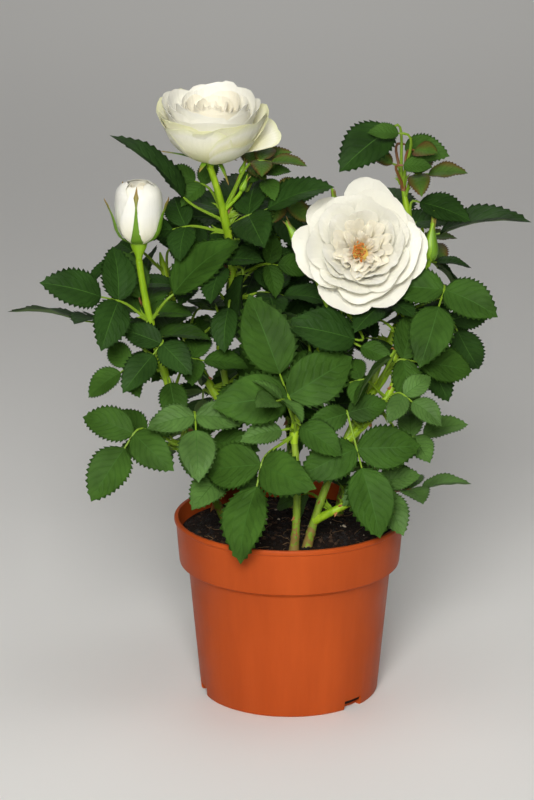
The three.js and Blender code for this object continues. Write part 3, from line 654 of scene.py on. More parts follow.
# A leaf is posed as: share of the shoot, heading, rise and reach of its stalk, heading, rise
# and length of its blade, pairs of side leaflets, roll. The others spiral up by the rule.
masses = {
    "foliage_left": dict(
        cane="cane_left", share=1, tip=(-76, -12, 232), bow=(-4, -2, 0),
        seed=11, spiral=3, facing=90, spread=80, bare=0.3, poses=[
            (0.59, -30, 50, 19, 20, 35, 46, 0, -20),
            (0.59, -155, 35, 21, -165, 20, 42, 1, -10),
            (0.3, 165, 30, 36, 170, 5, 50, 1, 60),
            (0.47, -70, 0, 12, -140, -40, 33, 1),
            (0.72, 105, -10, 14, 140, 65, 27, 0)]),
    "foliage_left_low": dict(
        cane="cane_left", share=0.4, tip=(-56, -16, 139), bow=(-3, -3, 4),
        seed=23, spiral=3, facing=190, spread=90, bare=0, poses=[
            (1, -65, 45, 27, -85, -50, 36, 1),
            (0.78, -155, 20, 28, -145, -50, 41, 1),
            (0.1, -45, 5, 26, -125, -25, 34, 1)]),
    "foliage_centre": dict(
        cane="cane_front", share=1, tip=(37, 14, 214), bow=(-15, -12, 2),
        seed=35, spiral=5, facing=90, spread=110, bare=0.15,
        buds=[(0.85, 110, 76, 48, 180, 80, 15), (0.75, 165, 66, 44, 180, 60, 17)], poses=[
            (0.18, -140, 55, 11, 135, 60, 56, 1),
            (0.03, -135, -25, 26, -120, -65, 51, 1, 30),
            (0.03, -75, 50, 10, -25, -30, 28, 0),
            (0.05, -120, 20, 10, -165, -10, 24, 0),
            (0.86, -75, -30, 25, -170, 15, 39, 0),
            (0.81, -60, -25, 20, -25, -20, 21, 0)]),
    "foliage_top_left": dict(
        cane="cane_back_left", share=1, tip=(-40, -4, 279), bow=(17, 6, -13),
        seed=47, spiral=8, facing=130, spread=130, bare=0.3,
        buds=[(0.8, -20, 50, 15, -10, 65, 9), (0.8, 25, 62, 21, 30, 70, 8)], poses=[
            (0.75, 180, 30, 23, 165, 40, 51, 0, 50),
            (0.8, 130, 40, 20, 150, 25, 24, 1),
            (0.72, -45, 30, 18, -5, 20, 46, 1, -25),
            (0.77, 15, 55, 33, -15, -20, 22, 1)]),
    "foliage_right": dict(
        cane="cane_right", share=1, tip=(57, 16, 268), bow=(26, 8, -23),
        seed=59, spiral=6, facing=70, spread=90, bare=0.1,
        buds=[(0.6, -5, 58, 17, 0, 85, 25)], poses=[
            (0.72, 10, 45, 18, -8, 12, 49, 0, -45),
            (0.57, -45, 20, 22, -120, -55, 44, 1),
            (0.42, 20, 5, 26, 20, -60, 33, 1, 30),
            (0.3, 20, -5, 15, -25, -60, 29, 0),
            (0.09, -80, 75, 34, -140, -40, 35, 0, 45),
            (0.66, 20, 25, 13, 10, -10, 21, 0, -40),
            (0.8, 20, 50, 14, -30, -30, 30, 0, 30),
            (0.99, -155, 80, 31, -150, -32, 38, 0),
            (0.97, 100, 75, 24, -20, -10, 26, 0, 20),
            (0.95, -30, 60, 14, -10, 5, 26, 1, -20)]),
    "foliage_right_mid": dict(
        cane="cane_right", share=0.72, tip=(54, -14, 172), bow=(4, -1, 0),
        seed=61, spiral=3, facing=20, spread=60, bare=0, poses=[
            (0.03, -90, -10, 20, -55, -58, 47, 2),
            (0.91, 50, 55, 7, -45, -45, 19, 0),
            (0.4, 15, -45, 24, 10, 10, 31, 1, -20)]),
    "foliage_right_low": dict(
        cane="cane_right", share=0.18, tip=(42, -28, 116), bow=(-5, -4, -1),
        seed=73, spiral=2, facing=40, spread=50, bare=0, poses=[
            (0.97, 15, 0, 20, 5, 5, 33, 1, -45),
            (0.6, 35, 30, 18, -35, -40, 32, 1)]),
    "foliage_back": dict(
        cane="cane_back", share=1, tip=(-10, 76, 250), bow=(4, 6, 0),
        seed=83, spiral=9, facing=90, spread=180, bare=0, poses=[]),
    "foliage_back_low": dict(
        cane="cane_back", share=0.45, tip=(6, 78, 168), bow=(0, 4, -6),
        seed=97, spiral=6, facing=90, spread=120, bare=0, poses=[]),
    "foliage_back_left": dict(
        cane="cane_back_left", share=0.62, tip=(-68, 54, 222), bow=(-8, 4, -6),
        seed=103, spiral=8, facing=150, spread=180, bare=0, poses=[]),
    "foliage_back_right": dict(
        cane="cane_back_right", share=1, tip=(70, 54, 236), bow=(6, 4, -4),
        seed=113, spiral=8, facing=30, spread=180, bare=0, poses=[]),
}
# The flowers that three of the shoots end in: foot, heading and rise.
flowers = {
    "foliage_top_left": ((-40, -4, 281), -70, 86),
    "foliage_centre": ((36, 9, 232), -91, 26),
    "foliage_left": ((-76.2, -12.2, 235), -90, 84),
}


def towards(heading, rise):
    flat = math.cos(math.radians(rise))
    turn = math.radians(heading)
    return Vector((flat * math.cos(turn), flat * math.sin(turn), math.sin(math.radians(rise))))


def turned_about(direction, axis, degrees):
    return Quaternion(axis, math.radians(degrees)) @ direction


def shoot_course(mass):
    """A shoot goes on from its cane's tip, or leaves the cane's side at a share of its length."""
    cane = cane_courses[mass["cane"]]
    if mass["share"] == 1:
        return Course(cane.at(1) + Vector((0, 0, GAP)), mass["tip"], mass["bow"])
    root = cane.at(mass["share"])
    middle = (root + Vector(mass["tip"])) / 2 + Vector(mass["bow"])
    direction = (middle - root).normalized()
    lean = abs(direction.dot(cane.along(mass["share"])))
    away = (cane_radius(mass["share"]) + GAP + SHOOT_RADIUS * lean) / math.sqrt(1 - lean * lean)
    return Course(root + direction * away, mass["tip"], mass["bow"])


class Leaf:
    """One compound leaf from its pose: its stalk's root, forks and leaflets."""

    def __init__(self, course, pose, light):
        share, heading, rise, reach, blade_heading, blade_rise, length, pairs, *roll = pose
        self.share = share
        self.root = course.at(share)
        self.leaving = towards(heading, rise)
        self.along = towards(blade_heading, blade_rise)
        self.size = length
        fork = self.root + self.leaving * reach
        normal = (light - self.along * light.dot(self.along)).normalized()
        self.normal = turned_about(normal, self.along, roll[0] if roll else 0)
        stalk = END_STALK * length if pairs else 2
        end_length = length - stalk
        self.end = fork + self.along * stalk
        self.leaflets = [(self.end, self.along, end_length)]
        self.forks = []
        for pair in range(pairs):
            foot = fork - self.along * PAIR_GAP * end_length * pair
            angle = SIDE_ANGLE + LOW_TURN * pair
            self.forks.append(foot)
            for hand in (1, -1):
                side = turned_about(self.along, self.normal, hand * angle)
                side_length = end_length * SIDE_LENGTH * LOW_LENGTH ** pair
                self.leaflets.append((foot, side, side_length))
        self.low = self.forks[-1] if self.forks else fork

    def inside_crown(self):
        for foot, along, length in self.leaflets:
            end = foot + along * length - CROWN_CENTRE
            if Vector((end[axis] / CROWN_RADII[axis] for axis in range(3))).length >= 1:
                return False
        return True

    def middles(self):
        """The middle and the tip of each leaflet."""
        for foot, along, length in self.leaflets:
            yield foot + along * length * 0.5 + self.normal * BLADE_ARCH * length
            yield foot + along * length


def posed_leaf(mass, pose, attempt):
    draw = seeded(mass["seed"] + 1000 * pose[0] + attempt)
    turned = [value + nudge * attempt * (draw() - 0.5) for value, nudge in zip(pose, NUDGE)]
    return Leaf(mass["course"], [*turned[:7], pose[7], *turned[8:]], LIGHT)


def ruled_leaf(mass, draw, share, heading, rule, shrink, light):
    """A leaf with its place and heading given, and the rest drawn by a rule."""
    rise = mix(*rule["rise"], draw())
    reach = mix(*rule["reach"], draw())
    blade_heading = heading + rule["swing"] * (draw() - 0.5)
    blade_rise = mix(*rule["blade_rise"], draw())
    length = mix(*rule["length"], draw()) * shrink
    pairs = 1 if draw() < rule["single"] else 2
    roll = rule["roll"] * (draw() - 0.5)
    pose = (share, heading, rise, reach, blade_heading, blade_rise, length, pairs, roll)
    return Leaf(mass["course"], pose, light)


def spiral_leaf(mass, index, attempt):
    draw = seeded(mass["seed"] + 1000 * index + 37 * attempt)
    share = mix(0.08, 1 - mass["bare"], (index + draw()) / mass["spiral"])
    spiralled = ((GOLDEN_TURN * index) % 360) / 180 - 1
    heading = mass["facing"] + mass["spread"] * spiralled + 60 * (draw() - 0.5)
    light = towards(heading, 40) + LIGHT
    return ruled_leaf(mass, draw, share, heading, SPIRAL, 1 - 0.03 * attempt, light)


def surface_of(node):
    """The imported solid's surface in millimetres, for finding what lies on it."""
    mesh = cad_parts[node].data
    points = [vertex.co / MM for vertex in mesh.vertices]
    return BVHTree.FromPolygons(points, [tuple(polygon.vertices) for polygon in mesh.polygons])


def on_surface(surface, leaf):
    return all(surface.find_nearest(point, ON_SURFACE)[0] is not None
               for point in leaf.middles())


for name, mass in masses.items():
    mass["course"] = shoot_course(mass)
    surface = surface_of(name)
    mass["leaves"] = []
    for pose in mass["poses"]:
        tries = (posed_leaf(mass, pose, attempt) for attempt in range(POSED_TRIES))
        mass["leaves"] += [leaf for leaf in tries if on_surface(surface, leaf)][:1]
    for index in range(mass["spiral"]):
        tries = (spiral_leaf(mass, index, attempt) for attempt in range(SPIRAL_TRIES))
        mass["leaves"] += [leaf for leaf in tries if on_surface(surface, leaf)][:1]

# A stalk's radius from the shoot to its last fork, and at the end leaflet.
STALK_RADII = [1.5, 1.0, 0.85, 0.8, 0.75, 0.72, 0.7, 0.68, 0.66]
STALK_END = 0.45
STIPULE_RIM = ((0.35, 1.5), (0.75, 1.7), (1, 3), (0.72, 0.5))


def bent(points, steps):
    """Points along a smooth cubic bend through four control points."""
    first, second, third, last = points
    course = []
    for step in range(steps + 1):
        share = step / steps
        rest = 1 - share
        course.append(first * rest ** 3 + second * 3 * share * rest ** 2
                      + third * 3 * share ** 2 * rest + last * share ** 3)
    return course


def stalk(leaf):
    """A leaf's stalk, from inside the shoot to its last fork, and on to the end leaflet."""
    reach = (leaf.low - leaf.root).length
    bend = bent([leaf.root, leaf.root + leaf.leaving * reach * 0.45,
                 leaf.low - leaf.along * reach * 0.3, leaf.low], len(STALK_RADII) - 1)
    radii = list(STALK_RADII)
    if (leaf.end - leaf.low).length > 0.5:
        bend.append(leaf.end)
        radii.append(STALK_END)
    return tube(bend, radii, sides=6), bend


def stipules(leaf, bend):
    """Two narrow green wings along the first stretch of a leaf's stalk, free at their tips."""
    start, end = bend[0], bend[2]
    along = (end - start).normalized()
    across = along.cross(leaf.normal)
    if across.length < 0.1:
        across = along.orthogonal()
    across.normalize()
    over = across.cross(along)
    reach = min(9, (end - start).length * 1.6)
    for hand in (-1, 1):
        rim = [start + along * 1.2]
        rim += [start + along * reach * share + across * hand * out
                for share, out in STIPULE_RIM]
        heart = start + along * reach * 0.5 + across * hand * 0.9
        corners = rim + [heart + over * 0.2, heart - over * 0.2]
        faces = []
        above, below = len(rim), len(rim) + 1
        for place in range(len(rim)):
            after = (place + 1) % len(rim)
            faces.append((place, after, above) if hand > 0 else (after, place, above))
            faces.append((after, place, below) if hand > 0 else (place, after, below))
        yield corners, faces

# Leaves ----------------------------------------------------------------------------------
# Rose leaves: thin, toothed, slightly glossy leaflets, duller and paler below, each held to its
# stalk by its rib. The leaves found above are dressed, and smaller ones stand among them.


def blade_outline(share):
    """The half-width of a leaflet along its length, 1 at the widest."""
    return 2.6 * share ** 0.6 * (1 - share) ** 0.86 * (1 - 0.35 * share ** 6)


# Each leaflet is a closed blade of 7 rows, with two teeth a row on either edge, a raised rib
# and a smooth underside. Its stations lie along it, closer together towards its foot.
STATIONS = (0, 0.1, 0.24, 0.39, 0.55, 0.71, 0.86, 1)
TOP_COLUMNS = (-1, -0.5, -0.022, 0.022, 0.5, 1)
UNDER_COLUMNS = (-1, -0.5, 0, 0.5, 1)
TOOTH = 0.05
# The teeth and the notch between them, by their place in a row. The tip itself has none.
TEETH = ((0.38, TOOTH), (0.5, 0), (0.88, TOOTH))
TOOTHED_TO = 0.93
# How far the blade swells between its veins, as a share of its length.
QUILTING = 0.012
THINNEST = 0.3
BLADE_THICKNESS = 0.7


def blade(leaf, leaflet, tint, draw):
    """One leaflet as points, faces, places across and along it, and tints."""
    foot, along, length = leaflet
    normal = leaf.normal
    across = along.cross(normal)
    phase = math.tau * draw()
    ripple = 0.02 + 0.07 * draw()
    droop = 0.06 * draw()
    curl = mix(-0.02, 0.05, draw())
    cup = mix(0.7, 1.3, draw())
    skew = 0.06 * (draw() - 0.5)
    wide = mix(0.92, 1.06, draw())

    def half_width(share):
        return max(length * BLADE_RATIO / 2 * blade_outline(share) * wide, THINNEST)

    def at(u, share, sink=0.0):
        half = half_width(share)
        rise = (4 * BLADE_ARCH * share * (1 - share) - droop * share ** 3) * length
        side = abs(u)
        rise += half * (BLADE_FOLD * cup * side + curl * math.sin(math.pi * side))
        rise += ripple * half * side ** 2 * math.sin(math.tau * 1.8 * share + phase + 1.5 * u)
        swing = skew * length * math.sin(math.pi * share)
        return foot + along * share * length + across * (u * half + swing) + normal * (rise - sink)

    points, faces, places, tints = [], [], [], []

    def corner(point, u, share):
        points.append(point)
        places.append(((u + 1) / 2, share))
        return len(points) - 1

    def face(corners, shade):
        faces.append([each for place, each in enumerate(corners) if each != corners[place - 1]])
        tints.append(shade)

    rows = len(STATIONS) - 1
    tops, unders = [], []
    for row, share in enumerate(STATIONS[:-1]):
        swell = QUILTING * length * (1 if row % 2 else -0.4) * (share > 0.05)
        edges = [corner(at(u, share), u, share) for u in (-1, 1)]
        inner = [corner(at(u, share, -swell if abs(u) == 0.5 else 0), u, share)
                 for u in TOP_COLUMNS[1:-1]]
        below = [corner(at(u, share, BLADE_THICKNESS * (1.3 if u == 0 else 1) - swell * (u != 0)),
                        u, share) for u in UNDER_COLUMNS[1:-1]]
        tops.append([edges[0], *inner, edges[1]])
        unders.append([edges[0], *below, edges[1]])
    tip = corner(at(0, 1), 0, 1)
    tops.append([tip] * len(TOP_COLUMNS))
    unders.append([tip] * len(UNDER_COLUMNS))

    for row in range(rows):
        low, high = STATIONS[row], STATIONS[row + 1]
        top, after = tops[row], tops[row + 1]
        under, beyond = unders[row], unders[row + 1]
        for column in (1, 2, 3):
            shade = RIB if column == 2 else tint
            face([top[column], top[column + 1], after[column + 1], after[column]], shade)
        for column in (1, 2):
            face([under[column + 1], under[column], beyond[column], beyond[column + 1]], UNDERSIDE)
        # The toothed edges lie flat between their stations: a tooth, a notch and a tooth.
        for hand, edge, near, under_near in ((-1, 0, 1, 1), (1, 5, 4, 3)):
            outward = (points[top[edge]] - points[top[near]]).normalized()
            rim = [top[edge]]
            for part, tooth in TEETH:
                share = mix(low, high, part)
                if share > TOOTHED_TO:
                    continue
                stand = half_width(share) - mix(half_width(low), half_width(high), part)
                stand += tooth * length * min(1, 0.3 + 5 * share)
                spot = points[top[edge]].lerp(points[after[edge]], part) + outward * stand
                rim.append(corner(spot, hand, share))
            rim.append(after[edge])
            above = [top[near], *rim, after[near]]
            below = [under[under_near], *rim, beyond[under_near]]
            face(above if hand < 0 else above[::-1], tint)
            face(below[::-1] if hand < 0 else below, tint)
    face([*reversed(tops[0]), *unders[0][1:4]], UNDERSIDE)
    return points, faces, places, tints


# Leaf green is dealt out leaf by leaf: mid green, a fresher and a deeper green, a paler one, and
# the bronzed green of the youngest. Which of the first four a leaf gets is partly chance and
# partly painted light and shade: the lowest leaves in front are painted paler, the high and back
# ones deeper. The underside is duller and paler, and the rib is nearly the blade's own green.
VEIN_PAIRS = 7
VEIN_SLANT = 0.75
VEIN_STRAY = 0.11
# How much darker the painted shade in the vein creases is than the blade's own green.
VEIN_PAINTED_SHADE = (0.89, 0.91, 0.92, 1)


def leaf_green(name, colour, dullness, sheen, blush=None):
    """A blade's skin: sunken veins that run out from the rib and forward, with painted shade in
    their creases, and a slight gloss.
    """
    skin = Skin(name, colour, dullness, Specular_IOR_Level=sheen)
    spot = skin.spot()
    across, along, _ = skin.split(skin.lie())
    stray = skin.patches(spot, scale=120, detail=1)
    grain = skin.patches(spot, scale=700, detail=3)
    mottle = skin.patches(spot, scale=60, detail=3)
    side = skin.reckon("ABSOLUTE", skin.reckon("SUBTRACT", across, 0.5))
    slant = skin.reckon("MULTIPLY_ADD", skin.reckon("POWER", side, 1.2), -VEIN_SLANT, along)
    strayed = skin.reckon("MULTIPLY_ADD", stray, VEIN_STRAY, slant)
    wave = skin.reckon("SINE", skin.reckon("MULTIPLY", strayed, math.tau * VEIN_PAIRS))
    swell = skin.mapped(wave, (-1, -0.1), interpolation_type="SMOOTHSTEP")
    relief = skin.reckon("MULTIPLY_ADD", grain, 0.8, swell)
    skin.emboss(relief, strength=0.45, distance=0.0003)
    # Painted shade: the green is darkened along the sunken vein creases, where the relief is
    # lowest.
    painted_vein_shade = [part * tone for part, tone in zip(paint(colour), VEIN_PAINTED_SHADE)]
    tones = skin.add(
        "VectorMath", operation="SCALE", Vector=skin.mixed(swell, painted_vein_shade, paint(colour)),
        Scale=skin.mapped(mottle, (0.3, 0.7), (0.7, 1.35)))["Vector"]
    if blush:
        # A young leaf is still bronze in patches, most of all towards its edges.
        edging = skin.reckon("MULTIPLY_ADD", side, 1.1, mottle)
        tones = skin.mixed(skin.mapped(edging, (0.7, 1.15)), tones, paint(blush))
    skin.set(Base_Color=tones)
    return skin


# The deep green is partly painted shade and the pale green partly painted light, dealt out by a
# leaf's place in the bush.
MID, FRESH, DEEP_SHADED, YOUNG, PALE_LIT, RIB, UNDERSIDE = range(7)
blade_skins = [
    leaf_green("leaf_mid", "35531b", 0.52, 0.06),
    leaf_green("leaf_fresh", "3a591e", 0.54, 0.07),
    leaf_green("leaf_deep_shaded", "284218", 0.5, 0.06),
    leaf_green("leaf_young", "4a6624", 0.5, 0.1, "5f4220"),
    leaf_green("leaf_pale_lit", "4c6c30", 0.5, 0.12),
    Skin("leaf_rib", "3d6024", 0.6, Specular_IOR_Level=0.08),
    Skin("leaf_under", "56703a", 0.65, Specular_IOR_Level=0.15),
]
SHOOT_BARK, GREEN_STALK, RED_STALK, HORN = range(4)
stalk_skins = [
    green_bark("shoot_green", "739a14", "a6c62a"),
    Skin("stalk_green", "7a9a26", 0.5, Specular_IOR_Level=0.25),
    Skin("stalk_red", "80532c", 0.5),
    prickle_horn,
]


NECK_STEPS = 6


def shoot_points(mass, name):
    """The shoot's course as points and radii, its root sunk in the cane, up to its flower."""
    course = mass["course"]
    cane = cane_courses[mass["cane"]]
    shares = [step / SHOOT_STEPS for step in range(SHOOT_STEPS + 1)]
    points = [course.at(share) for share in shares]
    radii = [mix(SHOOT_RADIUS, SHOOT_TIP, share) for share in shares]
    for leaf in mass["leaves"]:
        for step, share in enumerate(shares):
            radii[step] *= 1 + 0.12 * math.exp(-((share - leaf.share) / NODE_WIDTH) ** 2)
    if mass["share"] == 1:
        points.insert(0, cane.at(1) - Vector((0, 0, 2)))
        radii.insert(0, SHOOT_RADIUS)
    else:
        points.insert(0, cane.at(mass["share"]))
        radii.insert(0, SHOOT_RADIUS * 1.15)
    if name in flowers:
        foot, heading, rise = flowers[name]
        up = towards(heading, rise)
        foot = Vector(foot)
        last = course.at(1)
        neck = bent([last, last + course.along(1) * 3, foot - up * 5, foot + up * 0.5],
                    NECK_STEPS)
        points.extend(neck[1:])
        radii.extend([SHOOT_TIP] * NECK_STEPS)
    else:
        radii[-3:] = [radii[-4] * factor for factor in (0.85, 0.6, 0.25)]
    return points, radii


YOUNG_SIZE = 30
YOUNG_FROM = 205


def dressed(leaf, draw):
    """A leaf's blades and stalk, kept with it, and the surface that others keep clear of."""
    leaf.young = leaf.size < YOUNG_SIZE and leaf.share > 0.7 and leaf.root.z > YOUNG_FROM
    # Painted light and shade: the lower a leaf is, and the nearer to the front, the paler its
    # green; the higher and further back, the deeper.
    painted_light_chance = draw() + (leaf.root.z + leaf.end.z - 300) / 300 + (leaf.root.y + leaf.end.y) / 250
    tint = PALE_LIT if painted_light_chance < 0.22 else FRESH if painted_light_chance < 0.44 else MID if painted_light_chance < 0.8 else DEEP_SHADED
    if leaf.young:
        tint = YOUNG if draw() < 0.65 else FRESH
    leaf.blades = [blade(leaf, leaflet, tint, draw) for leaflet in leaf.leaflets]
    leaf.stalk, leaf.bend = stalk(leaf)
    leaf.surface, corners = joined([*leaf.blades, leaf.stalk])
    leaf.middle = (leaf.root + leaf.end) / 2
    leaf.girth = max((corner - leaf.middle).length for corner in corners)
    return leaf


def joined(parts):
    """Several parts as one surface for finding what they touch, and their points."""
    corners, faces = [], []
    for points, skin, *_ in parts:
        first = len(corners)
        corners.extend(points)
        faces.extend([[first + corner for corner in face] for face in skin])
    return BVHTree.FromPolygons(corners, faces), corners


# A new leaf has to be clear of the canes, the flowers, the pot and every leaf before it.
limbs = [surface_of(name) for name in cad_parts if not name.startswith("foliage")]
grown_leaves = []
for place, mass in enumerate(masses.values()):
    draw = seeded(300 + place)
    grown_leaves.extend(dressed(leaf, draw) for leaf in mass["leaves"])


def has_room(leaf):
    if any(limb.overlap(leaf.surface) for limb in limbs):
        return False
    return not any(
        other.surface.overlap(leaf.surface) for other in grown_leaves
        if (other.middle - leaf.middle).length < other.girth + leaf.girth)


# Between the first leaves stand smaller ones, as many as find room inside the crown.
FILLING = dict(rise=(0, 60), reach=(10, 24), swing=80, blade_rise=(-55, 30), length=(24, 44),
               single=0.8, roll=60)
FILLING_LEAVES = 15
FILLING_TRIES = 12


def filling_leaf(mass, index, attempt):
    """A leaf of the same kind as the spiral's, smaller and nearer to the shoot."""
    draw = seeded(mass["seed"] + 5000 + 1000 * index + 37 * attempt)
    share = mix(0.05, 1 - mass["bare"] - 0.05, draw())
    heading = 360 * draw()
    light = towards(heading, 50) + LIGHT * 1.5
    return ruled_leaf(mass, draw, share, heading, FILLING, 1 - 0.02 * attempt, light)


def keep(mass, leaf):
    mass["leaves"].append(leaf)
    grown_leaves.append(leaf)


# A few more leaves are posed like the first ones: young ones near the tips of two shoots, and
# some that hang in front of the canes.
more_leaves = [
    ("foliage_right", (0.98, -100, 82, 17, 5, -38, 17, 0)),
    ("foliage_right", (0.98, -80, 80, 33, 176, -12, 18, 0)),
    ("foliage_right", (0.97, -40, 70, 20, -50, -5, 18, 0)),
    ("foliage_right", (0.98, 150, 70, 12, 165, 20, 15, 0)),
    ("foliage_top_left", (0.8, -10, 55, 33, -8, -5, 24, 1, -30)),
    ("foliage_top_left", (0.76, 25, 62, 31, 10, 15, 22, 1, -20)),
    ("foliage_top_left", (0.72, 0, 64, 34, -70, -35, 20, 1)),
    ("foliage_top_left", (0.52, -66, 10, 14, -92, -74, 40, 0, 50)),
    ("foliage_top_left", (0.3, -95, 10, 12, -100, -60, 26, 0, 20)),
    ("foliage_left", (0.12, -75, 20, 12, -60, -60, 26, 0)),
]
MORE_TRIES = 30
for place, (name, pose) in enumerate(more_leaves):
    mass = masses[name]
    draw = seeded(8000 + place)
    for attempt in range(MORE_TRIES):
        leaf = dressed(posed_leaf(mass, pose, attempt), draw)
        # Only the blades have to be clear. The stalk may pass close to its neighbours.
        whole, (leaf.surface, _) = leaf.surface, joined(leaf.blades)
        if has_room(leaf):
            leaf.surface = whole
            keep(mass, leaf)
            break

for place, mass in enumerate(masses.values()):
    for index in range(FILLING_LEAVES):
        draw = seeded(9000 + 50 * place + index)
        for attempt in range(FILLING_TRIES):
            leaf = filling_leaf(mass, index, attempt)
            if leaf.inside_crown() and has_room(dressed(leaf, draw)):
                keep(mass, leaf)
                break

SHOOT_PRICKLES = 3
for place, (name, mass) in enumerate(masses.items()):
    draw = seeded(400 + place)
    wood = Gathered()
    blades = Gathered()
    points, radii = shoot_points(mass, name)
    wood.add(*tube(points, radii, sides=12, rough=0.05), tints=SHOOT_BARK)
    for spot in range(SHOOT_PRICKLES):
        share = mix(0.1, 0.85, (spot + draw()) / SHOOT_PRICKLES)
        along = mass["course"].along(share)
        side = any_side(along, draw)
        foot = mass["course"].at(share) + side * SHOOT_RADIUS * 0.8
        wood.add(*prickle(foot, along, side, 1.8 + draw()), tints=HORN)
    for leaf in mass["leaves"]:
        for leaf_blade in leaf.blades:
            blades.add(*leaf_blade)
        reddened = draw() < (0.4 if leaf.young else 0.08)
        wood.add(*leaf.stalk, tints=RED_STALK if reddened else GREEN_STALK)
        for wing in stipules(leaf, leaf.bend):
            wood.add(*wing, tints=GREEN_STALK)
    shoot = wood.piece(name.replace("foliage", "shoot"), stalk_skins)
    leafage = blades.piece(name.replace("foliage", "leaves"), blade_skins)
    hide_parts(name)

# Blooms ----------------------------------------------------------------------------------
# Two open double blooms: whorls of thin silky petals on a green hip, wide and cupped outside,
# smaller and more folded towards the middle, with five narrow green sepals turned back below.


class Flower:
    """The place of a flower: its foot, and the way that it faces."""

    def __init__(self, foot, heading, rise):
        self.foot = Vector(foot)
        self.up = towards(heading, rise)
        self.side = Vector((0, 1, 0)).cross(self.up).normalized()
        self.over = self.up.cross(self.side)

    def at(self, point):
        return self.foot + self.side * point.x + self.over * point.y + self.up * point.z


RIM_SHARE = 0.12


def thin_sheet(point_at, columns, rows, thickness):
    """A closed sheet over u from -1 to 1 and v from 0 to 1, thin at its rim."""
    step = 1e-3
    upper, lower, places = [], [], []
    for row in range(rows + 1):
        for column in range(columns + 1):
            u, v = 2 * column / columns - 1, row / rows
            point = point_at(u, v)
            along_u = point_at(u + step, v) - point_at(u - step, v)
            along_v = point_at(u, min(v + step, 1)) - point_at(u, max(v - step, 0))
            normal = along_u.cross(along_v)
            normal = normal.normalized() if normal.length > 1e-9 else Vector((0, 0, 1))
            inside = 0 < row < rows and 0 < column < columns
            half = thickness / 2 if inside else thickness * RIM_SHARE
            upper.append(point + normal * half)
            lower.append(point - normal * half)
            places.append((column / columns, v))
    wide = columns + 1
    count = len(upper)
    faces = []
    for row in range(rows):
        for column in range(columns):
            a = row * wide + column
            face = (a, a + 1, a + 1 + wide, a + wide)
            faces.append(face)
            faces.append(tuple(count + corner for corner in reversed(face)))
    rim = list(range(columns + 1))
    rim += [row * wide + columns for row in range(1, rows + 1)]
    rim += [rows * wide + column for column in range(columns - 1, -1, -1)]
    rim += [row * wide for row in range(rows - 1, 0, -1)]
    for place, corner in enumerate(rim):
        after = rim[(place + 1) % len(rim)]
        faces.append((after, corner, corner + count, after + count))
    return upper + lower, faces, places + places


def petal(flower, ring, turn, draw):
    """One petal of a ring: from the hip out through its belly to a rim that rolls back."""
    (belly_out, belly_up), (rim_out, rim_up) = ring["belly"], ring["rim"]
    curl = ring.get("curl", 1.5) * mix(0.6, 1.4, draw())
    wave = ring.get("wave", 1.0) * mix(0.6, 1.5, draw())
    lean = mix(-1, 1, draw()) * ring.get("scatter", 1.2)
    phase = math.tau * draw()
    notch = mix(0.01, 0.05, draw())
    half = ring["half"] * mix(0.92, 1.08, draw())
    fold = ring.get("fold", 0.6) * mix(-1, 1, draw())
    off = ring.get("off", (0, 0))
    tilt, back = ring.get("tilt", 0), ring.get("back", 0)

    def point_at(u, v):
        reach = v * (1 - 0.12 * u * u - 0.3 * abs(u) ** 6 - notch * math.exp(-(u / 0.16) ** 2))
        rest = 1 - reach
        out = 2 * rest * rest + belly_out * 2 * rest * reach + (rim_out + lean) * reach * reach
        up = rest * rest + belly_up * 2 * rest * reach + (rim_up + lean * 0.5) * reach * reach
        edge = max(0, reach - 0.72) / 0.28
        roll = max(0, abs(u) - 0.55) / 0.45
        out += curl * edge ** 2 + 0.5 * curl * roll ** 2 * reach
        up -= curl * 0.8 * edge ** 2
        out += wave * reach ** 3 * math.sin(3.2 * u + phase) * 0.7
        up += wave * reach ** 4 * (math.sin(4.6 * u + phase * 1.7) * 0.6
                                   + math.sin(9 * u + phase * 2.3) * 0.42)
        out += fold * reach * math.exp(-(u / 0.25) ** 2)
        opening = 0.35 + 0.65 * math.sin(math.pi / 2 * min(1, v / 0.75))
        angle = math.radians(turn + u * half * opening)
        up += (tilt * u + back * math.sin(angle)) * reach ** 2
        return flower.at(Vector((out * math.cos(angle) + off[0] * reach,
                                 out * math.sin(angle) + off[1] * reach, up)))

    return thin_sheet(point_at, columns=12, rows=12, thickness=0.4)


def sepal(flower, turn, width, course_at, slimming=0):
    """A narrow green sepal over a course of [out, up], pointed or with a small leafy tip."""
    across = Vector((-math.sin(math.radians(turn)), math.cos(math.radians(turn)), 0))
    radial = Vector((math.cos(math.radians(turn)), math.sin(math.radians(turn)), 0))

    def point_at(u, v):
        out, up = course_at(v)
        half = width / 2 * (1 - v) ** 0.8 * (0.75 + 0.9 * v)
        if slimming:
            tip = 0.3 * math.exp(-((v - 0.86) / 0.08) ** 2)
            half = width / 2 * ((1 - v) ** slimming + tip)
        return flower.at(radial * (out - 0.25 * half * u * u) + across * half * u
                         + Vector((0, 0, up)))

    return thin_sheet(point_at, columns=4, rows=14, thickness=0.5)


def silk(name, rim, base, reach, edge):
    """A petal's skin: soft and matt, its colour running from the base to the rim's edge."""
    skin = Skin(name, rim, 0.55, Subsurface_Weight=0.15, Subsurface_Scale=0.002,
                Subsurface_Radius=(1, 0.95, 0.8), Sheen_Weight=0.15)
    lie = skin.lie()
    along = skin.split(lie)["Y"]
    skin.set(Base_Color=skin.ramp(along, (0.05, base), (reach, rim), (1, edge)))
    # Fine veins fan out along the petal.
    veins = skin.patches(skin.stretched(lie, (26, 1.2, 1)), scale=1, detail=3)
    skin.emboss(veins, strength=0.35, distance=0.0007)
    return skin


